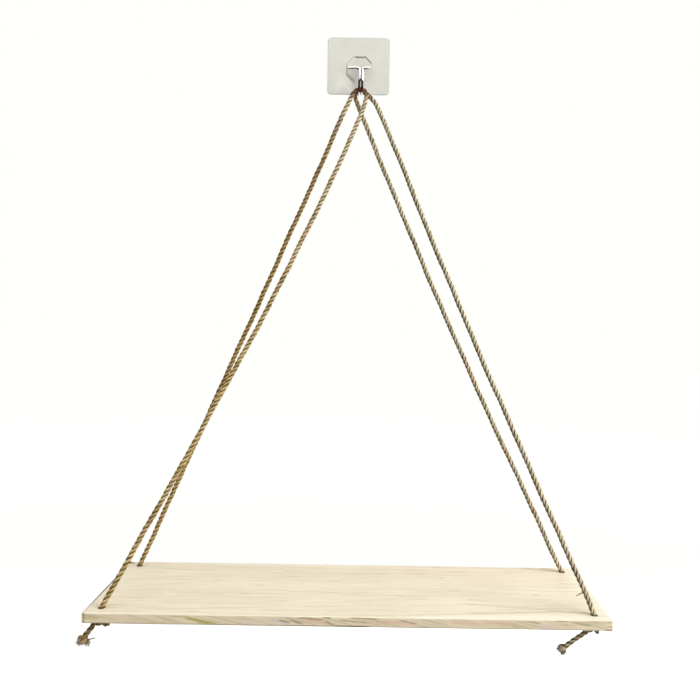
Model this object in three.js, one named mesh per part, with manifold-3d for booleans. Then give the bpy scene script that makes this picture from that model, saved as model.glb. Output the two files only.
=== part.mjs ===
// Hanging rope shelf: one thin board carried by two ropes over a wire hook on a stick-on wall plate.
// Millimetres, +Z up, +X to the right, +Y into the wall. The wall face is the plane Y = 0.
// The origin is the middle of the pad's sticky face, so every piece lies at Y <= 0.

import * as THREE from 'three';
import { mergeVertices } from 'three/addons/utils/BufferGeometryUtils.js';
import Module from 'manifold-3d';

// Board
const boardWidth = 420;
const boardDepth = 130;
const boardThickness = 8;
const boardCornerRadius = 1.2;
const boardEdgeEase = 0.6;
const boardDrop = 475; // from the middle of the wall plate down to the top of the board
const holeRadius = 2.9;
const holeInset = 12; // from the board's end and from its long edge to the middle of a hole

// Wall plate and its pad
const padThickness = 0.8;
const plateWidth = 60;
const plateHeight = 55;
const plateThickness = 1;
const plateCornerRadius = 4;
const plateEdgeEase = 0.25;
const padSetBack = 0.5; // how far the pad's outline lies inside the plate's

// Hook housing, an eight-sided moulding on the plate
const housingAcrossFlats = 25.8;
const housingHeight = 7.5;
const housingDrop = 4; // its middle lies this far under the middle of the plate
const housingSetOver = 1; // and this far to its right
const housingFoot = 1.2; // upright foot before the side starts to taper
const housingTaper = 0.8;
const housingChamfer = 1.9;
const housingRimWidth = 1.6; // flat rim round the shallow dish in the front face
const housingDishDepth = 0.4;
const housingSides = 8;

// Wire hook, one wire bent double
const wireDiameter = 2.1;
const wireGap = 0.5; // between the two legs
const armReach = 10.5; // from the middle of the housing to the end of a pivot arm
const stemSetOver = 1.5; // the legs hang this far to the right of the middle of the housing
const armBendRadius = 1.8; // of the wire's middle line
const pivotRise = 0.7; // pivot axis above the middle of the housing
const pivotStandOff = 3.8; // pivot axis in front of the plate
const stemLength = 20.7; // from the pivot axis down to the middle of the round bottom
const throatRadius = 7.2; // of the wire's middle line
const tipRise = 3.9; // straight run at the tip, above the round bottom
const pivotClearance = 0.25;
const slotClearance = 0.5;

// Ropes and their knots
const ropeDiameter = 4.5;
const knotRopeDiameter = 3.4; // the rope is squeezed in the knot
const ropeSides = 10;
const knotSides = 8;
const knotRingRadius = 4.6;
const knotLobeRadius = 2.2;
const knotHoleReach = 7; // from the middle of the knot to the hole it hangs under
const knotEntry = 3; // the knot's rope starts this far up inside the hole
const seatClearance = 0.3;

const cutOverrun = 4; // every cut runs past the material by this much

const turn = 2 * Math.PI;
const arcSteps = 6;
const wireSides = 10;

// Places worked out from the sizes
const plateFront = -(padThickness + plateThickness);
const wireRadius = wireDiameter / 2;
const legOffset = (wireDiameter + wireGap) / 2;
const pivot = new THREE.Vector3(
  housingSetOver + stemSetOver,
  plateFront - pivotStandOff,
  pivotRise - housingDrop,
);
const boardBottom = -(boardDrop + boardThickness);

const finishes = {
  board: new THREE.MeshStandardMaterial({ color: 0xe9d8b8, roughness: 0.65, metalness: 0 }),
  rope: new THREE.MeshStandardMaterial({ color: 0x9a7f55, roughness: 0.95, metalness: 0 }),
  knot: new THREE.MeshStandardMaterial({ color: 0x8a6f48, roughness: 0.95, metalness: 0 }),
  pad: new THREE.MeshStandardMaterial({ color: 0xe6e4dc, roughness: 0.6, metalness: 0 }),
  plate: new THREE.MeshStandardMaterial({ color: 0xdfddd5, roughness: 0.2, metalness: 0 }),
  housing: new THREE.MeshStandardMaterial({ color: 0xe8e8e4, roughness: 0.1, metalness: 0 }),
  steel: new THREE.MeshStandardMaterial({ color: 0xc4c5c6, roughness: 0.2, metalness: 1 }),
};

const shelf = new THREE.Group();

function addPiece(name, geometry, finish) {
  const piece = new THREE.Mesh(geometry, finish.clone());
  piece.name = name;
  shelf.add(piece);
  return piece;
}

// A rectangle about its own middle with round corners.
function roundedRectangle(width, height, radius) {
  const right = width / 2;
  const top = height / 2;
  const outline = new THREE.Shape();
  outline.moveTo(radius - right, -top);
  outline.lineTo(right - radius, -top);
  outline.absarc(right - radius, radius - top, radius, -turn / 4, 0, false);
  outline.lineTo(right, top - radius);
  outline.absarc(right - radius, top - radius, radius, 0, turn / 4, false);
  outline.lineTo(radius - right, top);
  outline.absarc(radius - right, top - radius, radius, turn / 4, turn / 2, false);
  outline.lineTo(-right, radius - top);
  outline.absarc(radius - right, radius - top, radius, turn / 2, (3 * turn) / 4, false);
  return outline;
}

// A flat piece of the given outline whose edges are eased inwards all round.
function easedSlab(outline, thickness, ease) {
  return new THREE.ExtrudeGeometry(outline, {
    depth: thickness - 2 * ease,
    curveSegments: arcSteps,
    bevelEnabled: true,
    bevelThickness: ease,
    bevelSize: ease,
    bevelOffset: -ease,
    bevelSegments: 2,
  }).translate(0, 0, ease);
}

// Board, with a hole near each corner
const holeX = boardWidth / 2 - holeInset;
const rearHoleY = -holeInset;
const frontHoleY = holeInset - boardDepth;

function boardGeometry() {
  const outline = roundedRectangle(boardWidth, boardDepth, boardCornerRadius);
  const middleY = -boardDepth / 2;
  for (const x of [-holeX, holeX]) {
    for (const y of [rearHoleY, frontHoleY]) {
      const hole = new THREE.Path();
      hole.absarc(x, y - middleY, holeRadius, 0, turn, true);
      outline.holes.push(hole);
    }
  }
  return easedSlab(outline, boardThickness, boardEdgeEase).translate(0, middleY, boardBottom);
}

addPiece('shelf_board', boardGeometry(), finishes.board);

// Pad and plate are drawn lying flat and stood up against the wall
const padOutline = roundedRectangle(
  plateWidth - 2 * padSetBack,
  plateHeight - 2 * padSetBack,
  plateCornerRadius - padSetBack,
);
const padGeometry = new THREE.ExtrudeGeometry(padOutline, {
  depth: padThickness,
  curveSegments: arcSteps,
  bevelEnabled: false,
});
const pad = addPiece('adhesive_pad', padGeometry, finishes.pad);
pad.rotation.x = turn / 4;

const plateOutline = roundedRectangle(plateWidth, plateHeight, plateCornerRadius);
const plate = addPiece('base_plate', easedSlab(plateOutline, plateThickness, plateEdgeEase), finishes.plate);
plate.rotation.x = turn / 4;
plate.position.y = -padThickness;

// Joins and cuts of closed meshes
const wasm = await Module();
wasm.setup();

function toSolid(geometry) {
  const bare = geometry.clone();
  bare.deleteAttribute('normal');
  bare.deleteAttribute('uv');
  const merged = mergeVertices(bare);
  const corners = merged.index.array;
  const kept = [];
  for (let i = 0; i < corners.length; i += 3) {
    const [a, b, c] = corners.slice(i, i + 3);
    if (a !== b && b !== c && c !== a) kept.push(a, b, c);
  }
  const mesh = new wasm.Mesh({
    numProp: 3,
    vertProperties: new Float32Array(merged.attributes.position.array),
    triVerts: new Uint32Array(kept),
  });
  return new wasm.Manifold(mesh);
}

function toGeometry(solid) {
  const mesh = solid.getMesh();
  const geometry = new THREE.BufferGeometry();
  geometry.setAttribute('position', new THREE.BufferAttribute(mesh.vertProperties, 3));
  geometry.setIndex(new THREE.BufferAttribute(mesh.triVerts, 1));
  return geometry;
}

// Housing, drawn about its own middle on the plate, with its height along +Y until it is turned forwards.
// Its pivot groove opens to the plate, which closes it over the wire; its slot opens forwards and down.
function housingGeometry() {
  const cornerShare = 1 / Math.cos(turn / (2 * housingSides));
  const footRadius = (housingAcrossFlats / 2) * cornerShare;
  const shoulderRadius = footRadius - housingTaper;
  const faceRadius = shoulderRadius - housingChamfer;
  const dishRadius = faceRadius - housingRimWidth;
  const profile = [
    new THREE.Vector2(0, 0),
    new THREE.Vector2(footRadius, 0),
    new THREE.Vector2(footRadius, housingFoot),
    new THREE.Vector2(shoulderRadius, housingHeight - housingChamfer),
    new THREE.Vector2(faceRadius, housingHeight),
    new THREE.Vector2(dishRadius, housingHeight),
    new THREE.Vector2(dishRadius - housingDishDepth, housingHeight - housingDishDepth),
    new THREE.Vector2(0, housingHeight - housingDishDepth),
  ];
  const halfSide = turn / (2 * housingSides);
  const block = new THREE.LatheGeometry(profile, housingSides, halfSide, turn).rotateX(turn / 2);

  const grooveRadius = wireRadius + pivotClearance;
  const grooveLength = 2 * (armReach + pivotClearance);
  const grooveSection = new THREE.Shape();
  grooveSection.moveTo(-grooveRadius, pivotStandOff + cutOverrun);
  grooveSection.lineTo(-grooveRadius, 0);
  grooveSection.absarc(0, 0, grooveRadius, turn / 2, turn, false);
  grooveSection.lineTo(grooveRadius, pivotStandOff + cutOverrun);
  const groove = new THREE.ExtrudeGeometry(grooveSection, {
    depth: grooveLength,
    curveSegments: arcSteps,
    bevelEnabled: false,
  })
    .rotateY(turn / 4)
    .translate(-grooveLength / 2, -pivotStandOff, pivotRise);

  const slotHalfWidth = legOffset + armBendRadius + slotClearance;
  const slotTop = pivotRise + grooveRadius + slotClearance;
  const slotBottom = -housingAcrossFlats / 2 - cutOverrun;
  const slotDepth = housingHeight + 2 * cutOverrun;
  const slot = new THREE.BoxGeometry(2 * slotHalfWidth, slotDepth, slotTop - slotBottom)
    .translate(stemSetOver, cutOverrun - slotDepth / 2, (slotTop + slotBottom) / 2);

  const cut = toSolid(block).subtract(toSolid(groove)).subtract(toSolid(slot));
  return toGeometry(cut);
}

const housing = addPiece('hook_housing', housingGeometry(), finishes.housing);
housing.position.set(housingSetOver, plateFront, -housingDrop);

// A path with a ring of the tube at each of its stations, which stand where bends begin, run and end.
class BentWire extends THREE.Curve {
  constructor(stations) {
    super();
    this.stations = stations;
  }

  getUtoTmapping(u) {
    return u;
  }

  getPoint(t, target = new THREE.Vector3()) {
    const place = t * (this.stations.length - 1);
    const i = Math.min(Math.floor(place), this.stations.length - 2);
    return target.lerpVectors(this.stations[i].point, this.stations[i + 1].point, place - i);
  }

  getTangent(t, target = new THREE.Vector3()) {
    const i = Math.round(t * (this.stations.length - 1));
    return target.copy(this.stations[i].tangent);
  }
}

// Stations round a bend: outward points from its centre to its start, forward is the way it sets off.
function bend(centre, outward, forward, radius, sweep, steps) {
  const stations = [];
  for (let i = 0; i <= steps; i += 1) {
    const angle = (sweep * i) / steps;
    const point = centre.clone()
      .addScaledVector(outward, radius * Math.cos(angle))
      .addScaledVector(forward, radius * Math.sin(angle));
    const tangent = outward.clone()
      .multiplyScalar(-Math.sin(angle))
      .addScaledVector(forward, Math.cos(angle));
    stations.push({ point, tangent });
  }
  return stations;
}

function polygon(radius, sides) {
  const corners = [];
  for (let i = 0; i < sides; i += 1) {
    const angle = (turn * i) / sides;
    corners.push(new THREE.Vector2(radius * Math.cos(angle), radius * Math.sin(angle)));
  }
  return new THREE.Shape(corners);
}

// The hook about its pivot axis: arm, stem, round bottom, up to the tip, round the tip and back again.
// The legs' middle is X = 0, so the left arm is longer than the right one.
function hookGeometry() {
  const right = new THREE.Vector3(1, 0, 0);
  const down = new THREE.Vector3(0, 0, -1);
  const up = new THREE.Vector3(0, 0, 1);
  const back = new THREE.Vector3(0, 1, 0);
  const armStart = new THREE.Vector3(-armReach - stemSetOver, 0, 0);
  const armEnd = new THREE.Vector3(armReach - stemSetOver, 0, 0);
  const armBend = new THREE.Vector3(-legOffset - armBendRadius, 0, -armBendRadius);
  const bottomCentre = new THREE.Vector3(-legOffset, -throatRadius, -stemLength);
  const tipCentre = new THREE.Vector3(0, -2 * throatRadius, tipRise - stemLength);

  const leftLeg = [
    { point: armStart, tangent: right.clone() },
    ...bend(armBend, up, right, armBendRadius, turn / 4, arcSteps - 1),
    ...bend(bottomCentre, back, down, throatRadius, turn / 2, 3 * arcSteps),
  ];
  const tipTurn = bend(tipCentre, right.clone().negate(), up, legOffset, turn / 2, 2 * arcSteps);
  const rightLeg = leftLeg.map((station) => ({
    point: station.point.clone().setX(-station.point.x),
    tangent: station.tangent.clone().negate().setX(station.tangent.x),
  })).reverse();
  rightLeg[rightLeg.length - 1].point.copy(armEnd);
  const path = new BentWire([...leftLeg, ...tipTurn, ...rightLeg]);
  return new THREE.ExtrudeGeometry(polygon(wireRadius, wireSides), {
    steps: path.stations.length - 1,
    extrudePath: path,
  });
}

const hook = addPiece('wire_hook', hookGeometry(), finishes.steel);
hook.position.copy(pivot);

// A rope's middle line. Rings of its tube are shared out evenly between the listed points,
// so they stand close where the points do.
class RopeRoute extends THREE.CatmullRomCurve3 {
  getUtoTmapping(u) {
    return u;
  }
}

const ringsPerPoint = 2;

function ropeGeometry(points, diameter, sides) {
  const route = new RopeRoute(points);
  return new THREE.ExtrudeGeometry(polygon(diameter / 2, sides), {
    steps: ringsPerPoint * (points.length - 1),
    extrudePath: route,
  });
}

// Each rope rises from its rear hole, goes over the round bottom of the hook and down to its front hole.
// The left rope lies nearer the hook's tip and the right rope nearer its stem, so they cross below it.
const leftRopeRoute = [
  [-198, -12, -479.7], [-198, -12, -477], [-197.4, -12, -473.5], [-195.2, -12, -468.3],
  [-185.6, -12.2, -447], [-173.4, -12.3, -419], [-154.7, -12.6, -376], [-135.8, -12.9, -333],
  [-117, -13.3, -290], [-98.6, -13.7, -247.7], [-80.1, -14.1, -205.3], [-61.9, -14.4, -163],
  [-43.5, -14.8, -120.7], [-15.8, -15.3, -55], [-9.1, -15.4, -40], [-6, -15.4, -33.6],
  [-4.3, -15.4, -30.6], [-2.3, -15.4, -28.2], [0, -15.4, -26.8], [2.5, -15.4, -26.3],
  [4.9, -15.4, -26.8], [6.9, -15.4, -28.7], [7.8, -15.5, -31.6], [7.5, -15.9, -35.4],
  [6.2, -17.1, -41.5], [3.8, -19.4, -49.2], [-1.4, -23, -64.1], [-7.9, -26.6, -79.7],
  [-19.7, -33.1, -108], [-38, -42.8, -150], [-60.3, -54.4, -200], [-84, -66, -250],
  [-108.7, -77.5, -300], [-131.3, -87.9, -345], [-175.5, -107.8, -431.2], [-187.4, -113.2, -454.5],
  [-194.2, -116.2, -467.5], [-197.3, -117.6, -473.7], [-198, -118, -477], [-198, -118, -479.7],
];
const rightRopeRoute = [
  [198, -12, -479.7], [198, -12, -477], [197.3, -12, -473.5], [194.9, -12, -468.8],
  [188, -11.9, -454.5], [174.7, -11.8, -426.6], [154.5, -11.6, -384.6], [134.3, -11.4, -342.8],
  [114.5, -11.3, -300.8], [95.2, -11.1, -258.9], [76.3, -10.9, -216.9], [57.9, -10.7, -174.9],
  [39.5, -10.5, -132.9], [21.5, -10.3, -90.8], [8.9, -10.2, -60.9], [1.2, -10.2, -42],
  [-1.6, -10.2, -35.6], [-2.8, -10.2, -32.4], [-2.6, -10.2, -29.9], [-1.4, -10.2, -27.9],
  [0.6, -10.2, -26.6], [3, -10.2, -26.3], [5.6, -10.2, -26.9], [8.3, -10.3, -28.7],
  [11.2, -10.6, -31.6], [14.2, -11.2, -35], [17, -12, -38.7], [23.8, -15.8, -54.5],
  [33.5, -21.5, -78], [50.9, -32.2, -122], [72.6, -45.5, -177.5], [94.5, -58.7, -231],
  [115.7, -71.2, -282.5], [137, -83.3, -332.2], [157.7, -95, -380.2], [177.8, -106.3, -426.5],
  [195, -116.1, -467], [197.3, -117.5, -473.5], [198, -118, -477], [198, -118, -479.7],
];

function toVectors(list) {
  return list.map(([x, y, z]) => new THREE.Vector3(x, y, z));
}

addPiece('left_rope', ropeGeometry(toVectors(leftRopeRoute), ropeDiameter, ropeSides), finishes.rope);
addPiece('right_rope', ropeGeometry(toVectors(rightRopeRoute), ropeDiameter, ropeSides), finishes.rope);

// An overhand knot under a hole. Places are [towards, across, up] from the hole's middle at the
// board's underside; towards points from the knot to the hole. The rope comes down the hole, follows
// a three-lobed knot that winds round a ring twice while it goes three times round the ring's
// own section, and leaves as the tail.
const knotRise = -(seatClearance + knotRopeDiameter / 2 + knotLobeRadius);
const knotStartAngle = -turn / 24;
const knotEndAngle = -(11 * turn) / 12;
const knotPoints = 16;
const knotEntryRoute = [
  [0, 0, knotEntry], [0, 0, 0.2], [0, -0.2, -1.8], [-0.3, -1.2, -3.8],
];
const tailRoutes = {
  front_left: [
    [-2.5, 4.6, -2.1], [0.2, 4.9, -3], [2, 5.4, -4.6], [3.2, 6.6, -6.6],
    [4, 8.5, -9.2], [4.5, 10.5, -11.9], [4.7, 12.1, -14.6], [4.8, 13.2, -17.2],
  ],
  front_right: [
    [-2.5, 4.6, -2.1], [0.2, 4.9, -2.9], [2, 5.9, -3.9], [3, 8.4, -5.3],
    [3.4, 12.6, -7.9], [3.6, 17.4, -11.2], [3.6, 22.2, -14.8], [3.4, 27.2, -18.6],
  ],
  rear_left: [
    [-2.5, 4.6, -2.1], [0.2, 4.9, -3], [2, 5.3, -4.8], [3.1, 5.4, -7.6],
    [3.4, 5, -11.6], [3.1, 4.4, -16], [2.4, 3.9, -20.6], [1.6, 3.8, -25.2],
  ],
  rear_right: [
    [-2.5, 4.6, -2.1], [0.2, 4.9, -3], [1.9, 5.7, -4.8], [2.9, 6.9, -7.6],
    [2.9, 8.6, -11.4], [2.4, 10.4, -15.4], [1.8, 12.6, -19.4], [1.4, 15.4, -23.2],
  ],
};
const knotPlaces = {
  front_left: { x: -holeX, y: frontHoleY, towards: [0, -1], across: [-1, 0] },
  front_right: { x: holeX, y: frontHoleY, towards: [0, -1], across: [-1, 0] },
  rear_left: { x: -holeX, y: rearHoleY, towards: [-1, 0], across: [0, 1] },
  rear_right: { x: holeX, y: rearHoleY, towards: [1, 0], across: [0, -1] },
};

function knotRoute(corner) {
  const local = [...knotEntryRoute];
  for (let i = 0; i < knotPoints; i += 1) {
    const angle = knotStartAngle + ((knotEndAngle - knotStartAngle) * i) / (knotPoints - 1);
    const reach = knotRingRadius + knotLobeRadius * Math.cos(3 * angle);
    local.push([
      reach * Math.cos(2 * angle) - knotHoleReach,
      reach * Math.sin(2 * angle),
      knotRise + knotLobeRadius * Math.sin(3 * angle),
    ]);
  }
  local.push(...tailRoutes[corner]);
  const { x, y, towards, across } = knotPlaces[corner];
  return local.map(([along, side, up]) => new THREE.Vector3(
    x + along * towards[0] + side * across[0],
    y + along * towards[1] + side * across[1],
    boardBottom + up,
  ));
}

// The least gap between stretches of one rope that lie further apart along it than they do in space.
function leastGap(points, diameter) {
  const samples = new RopeRoute(points).getPoints(8 * points.length);
  const along = [0];
  for (let i = 1; i < samples.length; i += 1) {
    along.push(along[i - 1] + samples[i].distanceTo(samples[i - 1]));
  }
  let least = Infinity;
  for (let i = 0; i < samples.length; i += 1) {
    for (let j = i + 1; j < samples.length; j += 1) {
      if (along[j] - along[i] > 3 * diameter) {
        least = Math.min(least, samples[i].distanceTo(samples[j]) - diameter);
      }
    }
  }
  return least;
}

for (const corner of Object.keys(knotPlaces)) {
  const route = knotRoute(corner);
  addPiece(`knot_${corner}`, ropeGeometry(route, knotRopeDiameter, knotSides), finishes.knot);
  console.log(`knot_${corner}: least gap to itself ${leastGap(route, knotRopeDiameter).toFixed(2)} mm`);
}

export default shelf;
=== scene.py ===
import math
import bpy
import bmesh
import numpy as np
from mathutils import Matrix, Vector


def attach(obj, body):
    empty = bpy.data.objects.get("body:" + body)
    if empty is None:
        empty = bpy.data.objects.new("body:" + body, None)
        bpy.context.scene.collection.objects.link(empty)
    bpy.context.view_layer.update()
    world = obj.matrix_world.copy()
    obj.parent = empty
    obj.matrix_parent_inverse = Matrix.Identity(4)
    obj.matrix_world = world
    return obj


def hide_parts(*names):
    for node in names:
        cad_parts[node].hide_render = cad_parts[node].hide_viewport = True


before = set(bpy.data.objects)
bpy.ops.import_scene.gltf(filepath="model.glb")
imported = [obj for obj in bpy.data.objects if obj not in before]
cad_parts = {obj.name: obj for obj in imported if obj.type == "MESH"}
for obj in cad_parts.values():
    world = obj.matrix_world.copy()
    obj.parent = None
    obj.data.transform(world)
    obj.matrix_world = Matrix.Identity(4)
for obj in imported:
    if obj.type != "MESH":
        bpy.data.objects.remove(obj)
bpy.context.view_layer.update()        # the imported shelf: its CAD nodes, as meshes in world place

mm = 0.001
turn = 2 * math.pi
print("frame loaded:", len(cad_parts), "CAD nodes")


# Camera, at the height and distance that the plate and the board's corners give

camera = {
    "place": (0.0131, -0.7520, -0.2361),
    "rollDegrees": 0.87,
    "focalPixels": 789.0,
    "imagePixels": 700.0,
    "centrePixels": (368.6, 314.4),   # where the camera's own axis meets the picture
    "sensorWidth": 36.0,
}


def addCamera():
    data = bpy.data.cameras.new("camera")
    data.sensor_width = camera["sensorWidth"]
    data.lens = camera["focalPixels"] / camera["imagePixels"] * camera["sensorWidth"]
    middle = camera["imagePixels"] / 2
    data.shift_x = (middle - camera["centrePixels"][0]) / camera["imagePixels"]
    data.shift_y = (camera["centrePixels"][1] - middle) / camera["imagePixels"]
    eye = bpy.data.objects.new("camera", data)
    turned = Matrix.Rotation(turn / 4, 4, "X") @ Matrix.Rotation(math.radians(camera["rollDegrees"]), 4, "Z")
    eye.matrix_world = Matrix.Translation(camera["place"]) @ turned
    bpy.context.scene.collection.objects.link(eye)
    bpy.context.scene.camera = eye


addCamera()
print("camera set")


# Mesh helpers. Every shape is worked out as whole arrays of points.

def unit(vectors):
    return vectors / np.linalg.norm(vectors, axis=-1, keepdims=True)


def newPiece(name, points, faces, body, slotName, material, smooth=True):
    mesh = bpy.data.meshes.new(name)
    mesh.from_pydata(points.tolist(), [], faces)
    mesh.polygons.foreach_set("use_smooth", np.full(len(mesh.polygons), smooth))
    mesh.materials.append(material)
    mesh.update()
    piece = bpy.data.objects.new(name, mesh)
    bpy.context.scene.collection.objects.link(piece)
    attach(piece, body)
    return piece


def evenLine(points, spacing):
    # Centripetal Catmull-Rom: each stretch blends its four nearest points, with knots a square root of
    # their distance apart, and the result is cut again into even steps of its own length.
    p = np.array(points, float)
    p = np.vstack([2 * p[0] - p[1], p, 2 * p[-1] - p[-2]])
    gap = np.sqrt(np.linalg.norm(np.diff(p, axis=0), axis=1))
    knot = np.concatenate([[0], np.cumsum(gap)])
    p0, p1, p2, p3 = (p[i:len(p) - 3 + i, None] for i in range(4))
    k0, k1, k2, k3 = (knot[i:len(p) - 3 + i, None, None] for i in range(4))
    k = k1 + (k2 - k1) * np.linspace(0, 1, 24, endpoint=False)[None, :, None]
    a1 = p0 + (p1 - p0) * (k - k0) / (k1 - k0)
    a2 = p1 + (p2 - p1) * (k - k1) / (k2 - k1)
    a3 = p2 + (p3 - p2) * (k - k2) / (k3 - k2)
    b1 = a1 + (a2 - a1) * (k - k0) / (k2 - k0)
    b2 = a2 + (a3 - a2) * (k - k1) / (k3 - k1)
    fine = (b1 + (b2 - b1) * (k - k1) / (k2 - k1)).reshape(-1, 3)
    fine = np.vstack([fine, p[-2]])
    along = np.concatenate([[0], np.cumsum(np.linalg.norm(np.diff(fine, axis=0), axis=1))])
    steps = np.linspace(0, along[-1], int(round(along[-1] / spacing)) + 1)
    return np.stack([np.interp(steps, along, fine[:, i]) for i in range(3)], axis=1), steps


def carriedSides(line, first):
    # The side vector is carried from ring to ring, each time less its part along the line.
    tangent = unit(np.gradient(line, axis=0))
    sideA = np.empty_like(line)
    carried = np.array(first, float)
    for i, ahead in enumerate(tangent):
        carried = carried - ahead * carried.dot(ahead)
        carried = carried / np.linalg.norm(carried)
        sideA[i] = carried
    return sideA, np.cross(tangent, sideA)


def ringQuads(rings, sides):
    # One quad for each cell between a ring and the next, numbered ring by ring.
    i, j = np.meshgrid(np.arange(rings - 1), np.arange(sides), indexing="ij")
    here, after = i * sides + j, i * sides + (j + 1) % sides
    return np.stack([here, after, after + sides, here + sides], axis=-1).reshape(-1, 4)


def sweep(centres, sideA, sideB, radii):
    # Ring i, corner j: centre i plus radius (i, j) times cos and sin of the corner's angle along the
    # two side vectors. Each end closes on a pole at its own centre.
    rings, sides = radii.shape
    angle = turn * np.arange(sides) / sides
    out = np.cos(angle)[None, :, None] * sideA[:, None] + np.sin(angle)[None, :, None] * sideB[:, None]
    points = (centres[:, None] + radii[..., None] * out).reshape(-1, 3)
    points = np.vstack([points, centres[0], centres[-1]])
    corner = np.arange(sides)
    following = (corner + 1) % sides
    start = np.stack([np.full(sides, rings * sides), following, corner], axis=-1)
    last = (rings - 1) * sides
    end = np.stack([np.full(sides, rings * sides + 1), last + corner, last + following], axis=-1)
    return points, ringQuads(rings, sides), np.vstack([start, end])


def sweepUv(along, girth, sides):
    # u is metres round the tube, v metres along it, given corner by corner so that the seam stays closed.
    rings = len(along)
    i, j = np.meshgrid(np.arange(rings - 1), np.arange(sides), indexing="ij")
    u = np.stack([j, j + 1, j + 1, j], axis=-1) * girth / sides
    v = np.stack([along[i], along[i], along[i + 1], along[i + 1]], axis=-1)
    body = np.stack([u, v], axis=-1).reshape(-1, 2)
    corner = np.arange(sides)
    ends = []
    for place, order in ((along[0], (0.5, 1, 0)), (along[-1], (0.5, 0, 1))):
        u = np.stack([corner + step for step in order], axis=-1) * girth / sides
        ends.append(np.stack([u, np.full_like(u, place)], axis=-1).reshape(-1, 2))
    return np.vstack([body] + ends)


def joined(parts):
    # Several (points, quads, triangles) made one list of points and faces.
    points, faces, count = [], [], 0
    for some, quads, triangles in parts:
        points.append(some)
        faces += (quads + count).tolist() + (triangles + count).tolist()
        count += len(some)
    return np.vstack(points), faces


def smoothStep(values, low, high):
    # 3t^2 - 2t^3, with t going from 0 at low to 1 at high
    t = np.clip((values - low) / (high - low), 0, 1)
    return t * t * (3 - 2 * t)


def slowWave(along, lengths, phases):
    # The product of two slow sines: quiet stretches and strong ones that don't seem to repeat.
    return np.sin(along / lengths[0] + phases[0]) * np.sin(along / lengths[1] + phases[1])


def strokeMask(along, across, strokes):
    # A stroke is (start, end, middle at the start, middle at the end, half width, strength), lengths in
    # millimetres. Its mask is the strength on its own middle line and fades to 0 at the half width and
    # over the first and last fifth of its run. Where strokes meet, the stronger counts.
    start, end, first, last, halfWidth, strength = np.array(strokes, float).T
    share = (along[:, None] - start * mm) / ((end - start) * mm)
    off = np.abs(across[:, None] - (first + (last - first) * share) * mm) / (halfWidth * mm)
    mask = (1 - smoothStep(off, 0.25, 1.1)) * smoothStep(share, 0, 0.2) * (1 - smoothStep(share, 0.8, 1))
    return np.max(mask * strength, axis=1)


def addMask(piece, name, values):
    layer = piece.data.attributes.new(name, "FLOAT", "POINT")
    layer.data.foreach_set("value", values.astype(np.float32))


# Material helpers

def newTree(name):
    material = bpy.data.materials.new(name)
    material.use_nodes = True
    tree = material.node_tree
    return material, tree, tree.nodes["Principled BSDF"]


def addNode(tree, kind, settings=None, inputs=None):
    made = tree.nodes.new("ShaderNode" + kind)
    for key, value in (settings or {}).items():
        setattr(made, key, value)
    for key, value in (inputs or {}).items():
        if isinstance(value, bpy.types.NodeSocket):
            tree.links.new(value, made.inputs[key])
        else:
            made.inputs[key].default_value = value
    return made


def blendColours(tree, factor, first, second, mode="MIX"):
    mix = addNode(tree, "Mix", {"data_type": "RGBA", "blend_type": mode, "clamp_factor": True})
    for socket, value in ((mix.inputs[0], factor), (mix.inputs[6], first), (mix.inputs[7], second)):
        if isinstance(value, bpy.types.NodeSocket):
            tree.links.new(value, socket)
        else:
            socket.default_value = value
    return mix.outputs[2]


def compute(tree, operation, first, second=0.0, third=None):
    made = addNode(tree, "Math", {"operation": operation})
    for socket, value in zip(made.inputs, (first, second, third)):
        if isinstance(value, bpy.types.NodeSocket):
            tree.links.new(value, socket)
        elif value is not None:
            socket.default_value = value
    return made.outputs[0]


def spread(tree, value, low, high, newLow=0.0, newHigh=1.0):
    return addNode(tree, "MapRange", {"interpolation_type": "SMOOTHSTEP"}, {
        "Value": value, "From Min": low, "From Max": high, "To Min": newLow, "To Max": newHigh,
    }).outputs["Result"]


def noise(tree, vector, scale, detail):
    return addNode(tree, "TexNoise", inputs={"Vector": vector, "Scale": scale, "Detail": detail}).outputs


def objectPlace(tree):
    # Object coordinates, as a vector and as X, Y and Z by name.
    place = addNode(tree, "TexCoord").outputs["Object"]
    return place, dict(zip("xyz", addNode(tree, "SeparateXYZ", inputs={0: place}).outputs))


def region(tree, axes, bands):
    # The product of its bands. A band is (axis, start, end, value at the start, value at the end).
    masks = [spread(tree, axes[axis], *band) for axis, *band in bands]
    product = masks[0]
    for mask in masks[1:]:
        product = compute(tree, "MULTIPLY", product, mask)
    return product


def paint(tree, colour, finish, coats):
    # Each coat (mask, name of its colour) covers what is there as far as its mask goes.
    for mask, name in coats:
        colour = blendColours(tree, mask, colour, finish[name])
    return colour


def newGroup(name, inputs, outputs):
    group = bpy.data.node_groups.new(name, "ShaderNodeTree")
    for label, kind, value in inputs:
        socket = group.interface.new_socket(label, in_out="INPUT", socket_type=kind)
        if value is not None:
            socket.default_value = value
    for label, kind in outputs:
        group.interface.new_socket(label, in_out="OUTPUT", socket_type=kind)
    return group, group.nodes.new("NodeGroupInput"), group.nodes.new("NodeGroupOutput")


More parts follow.
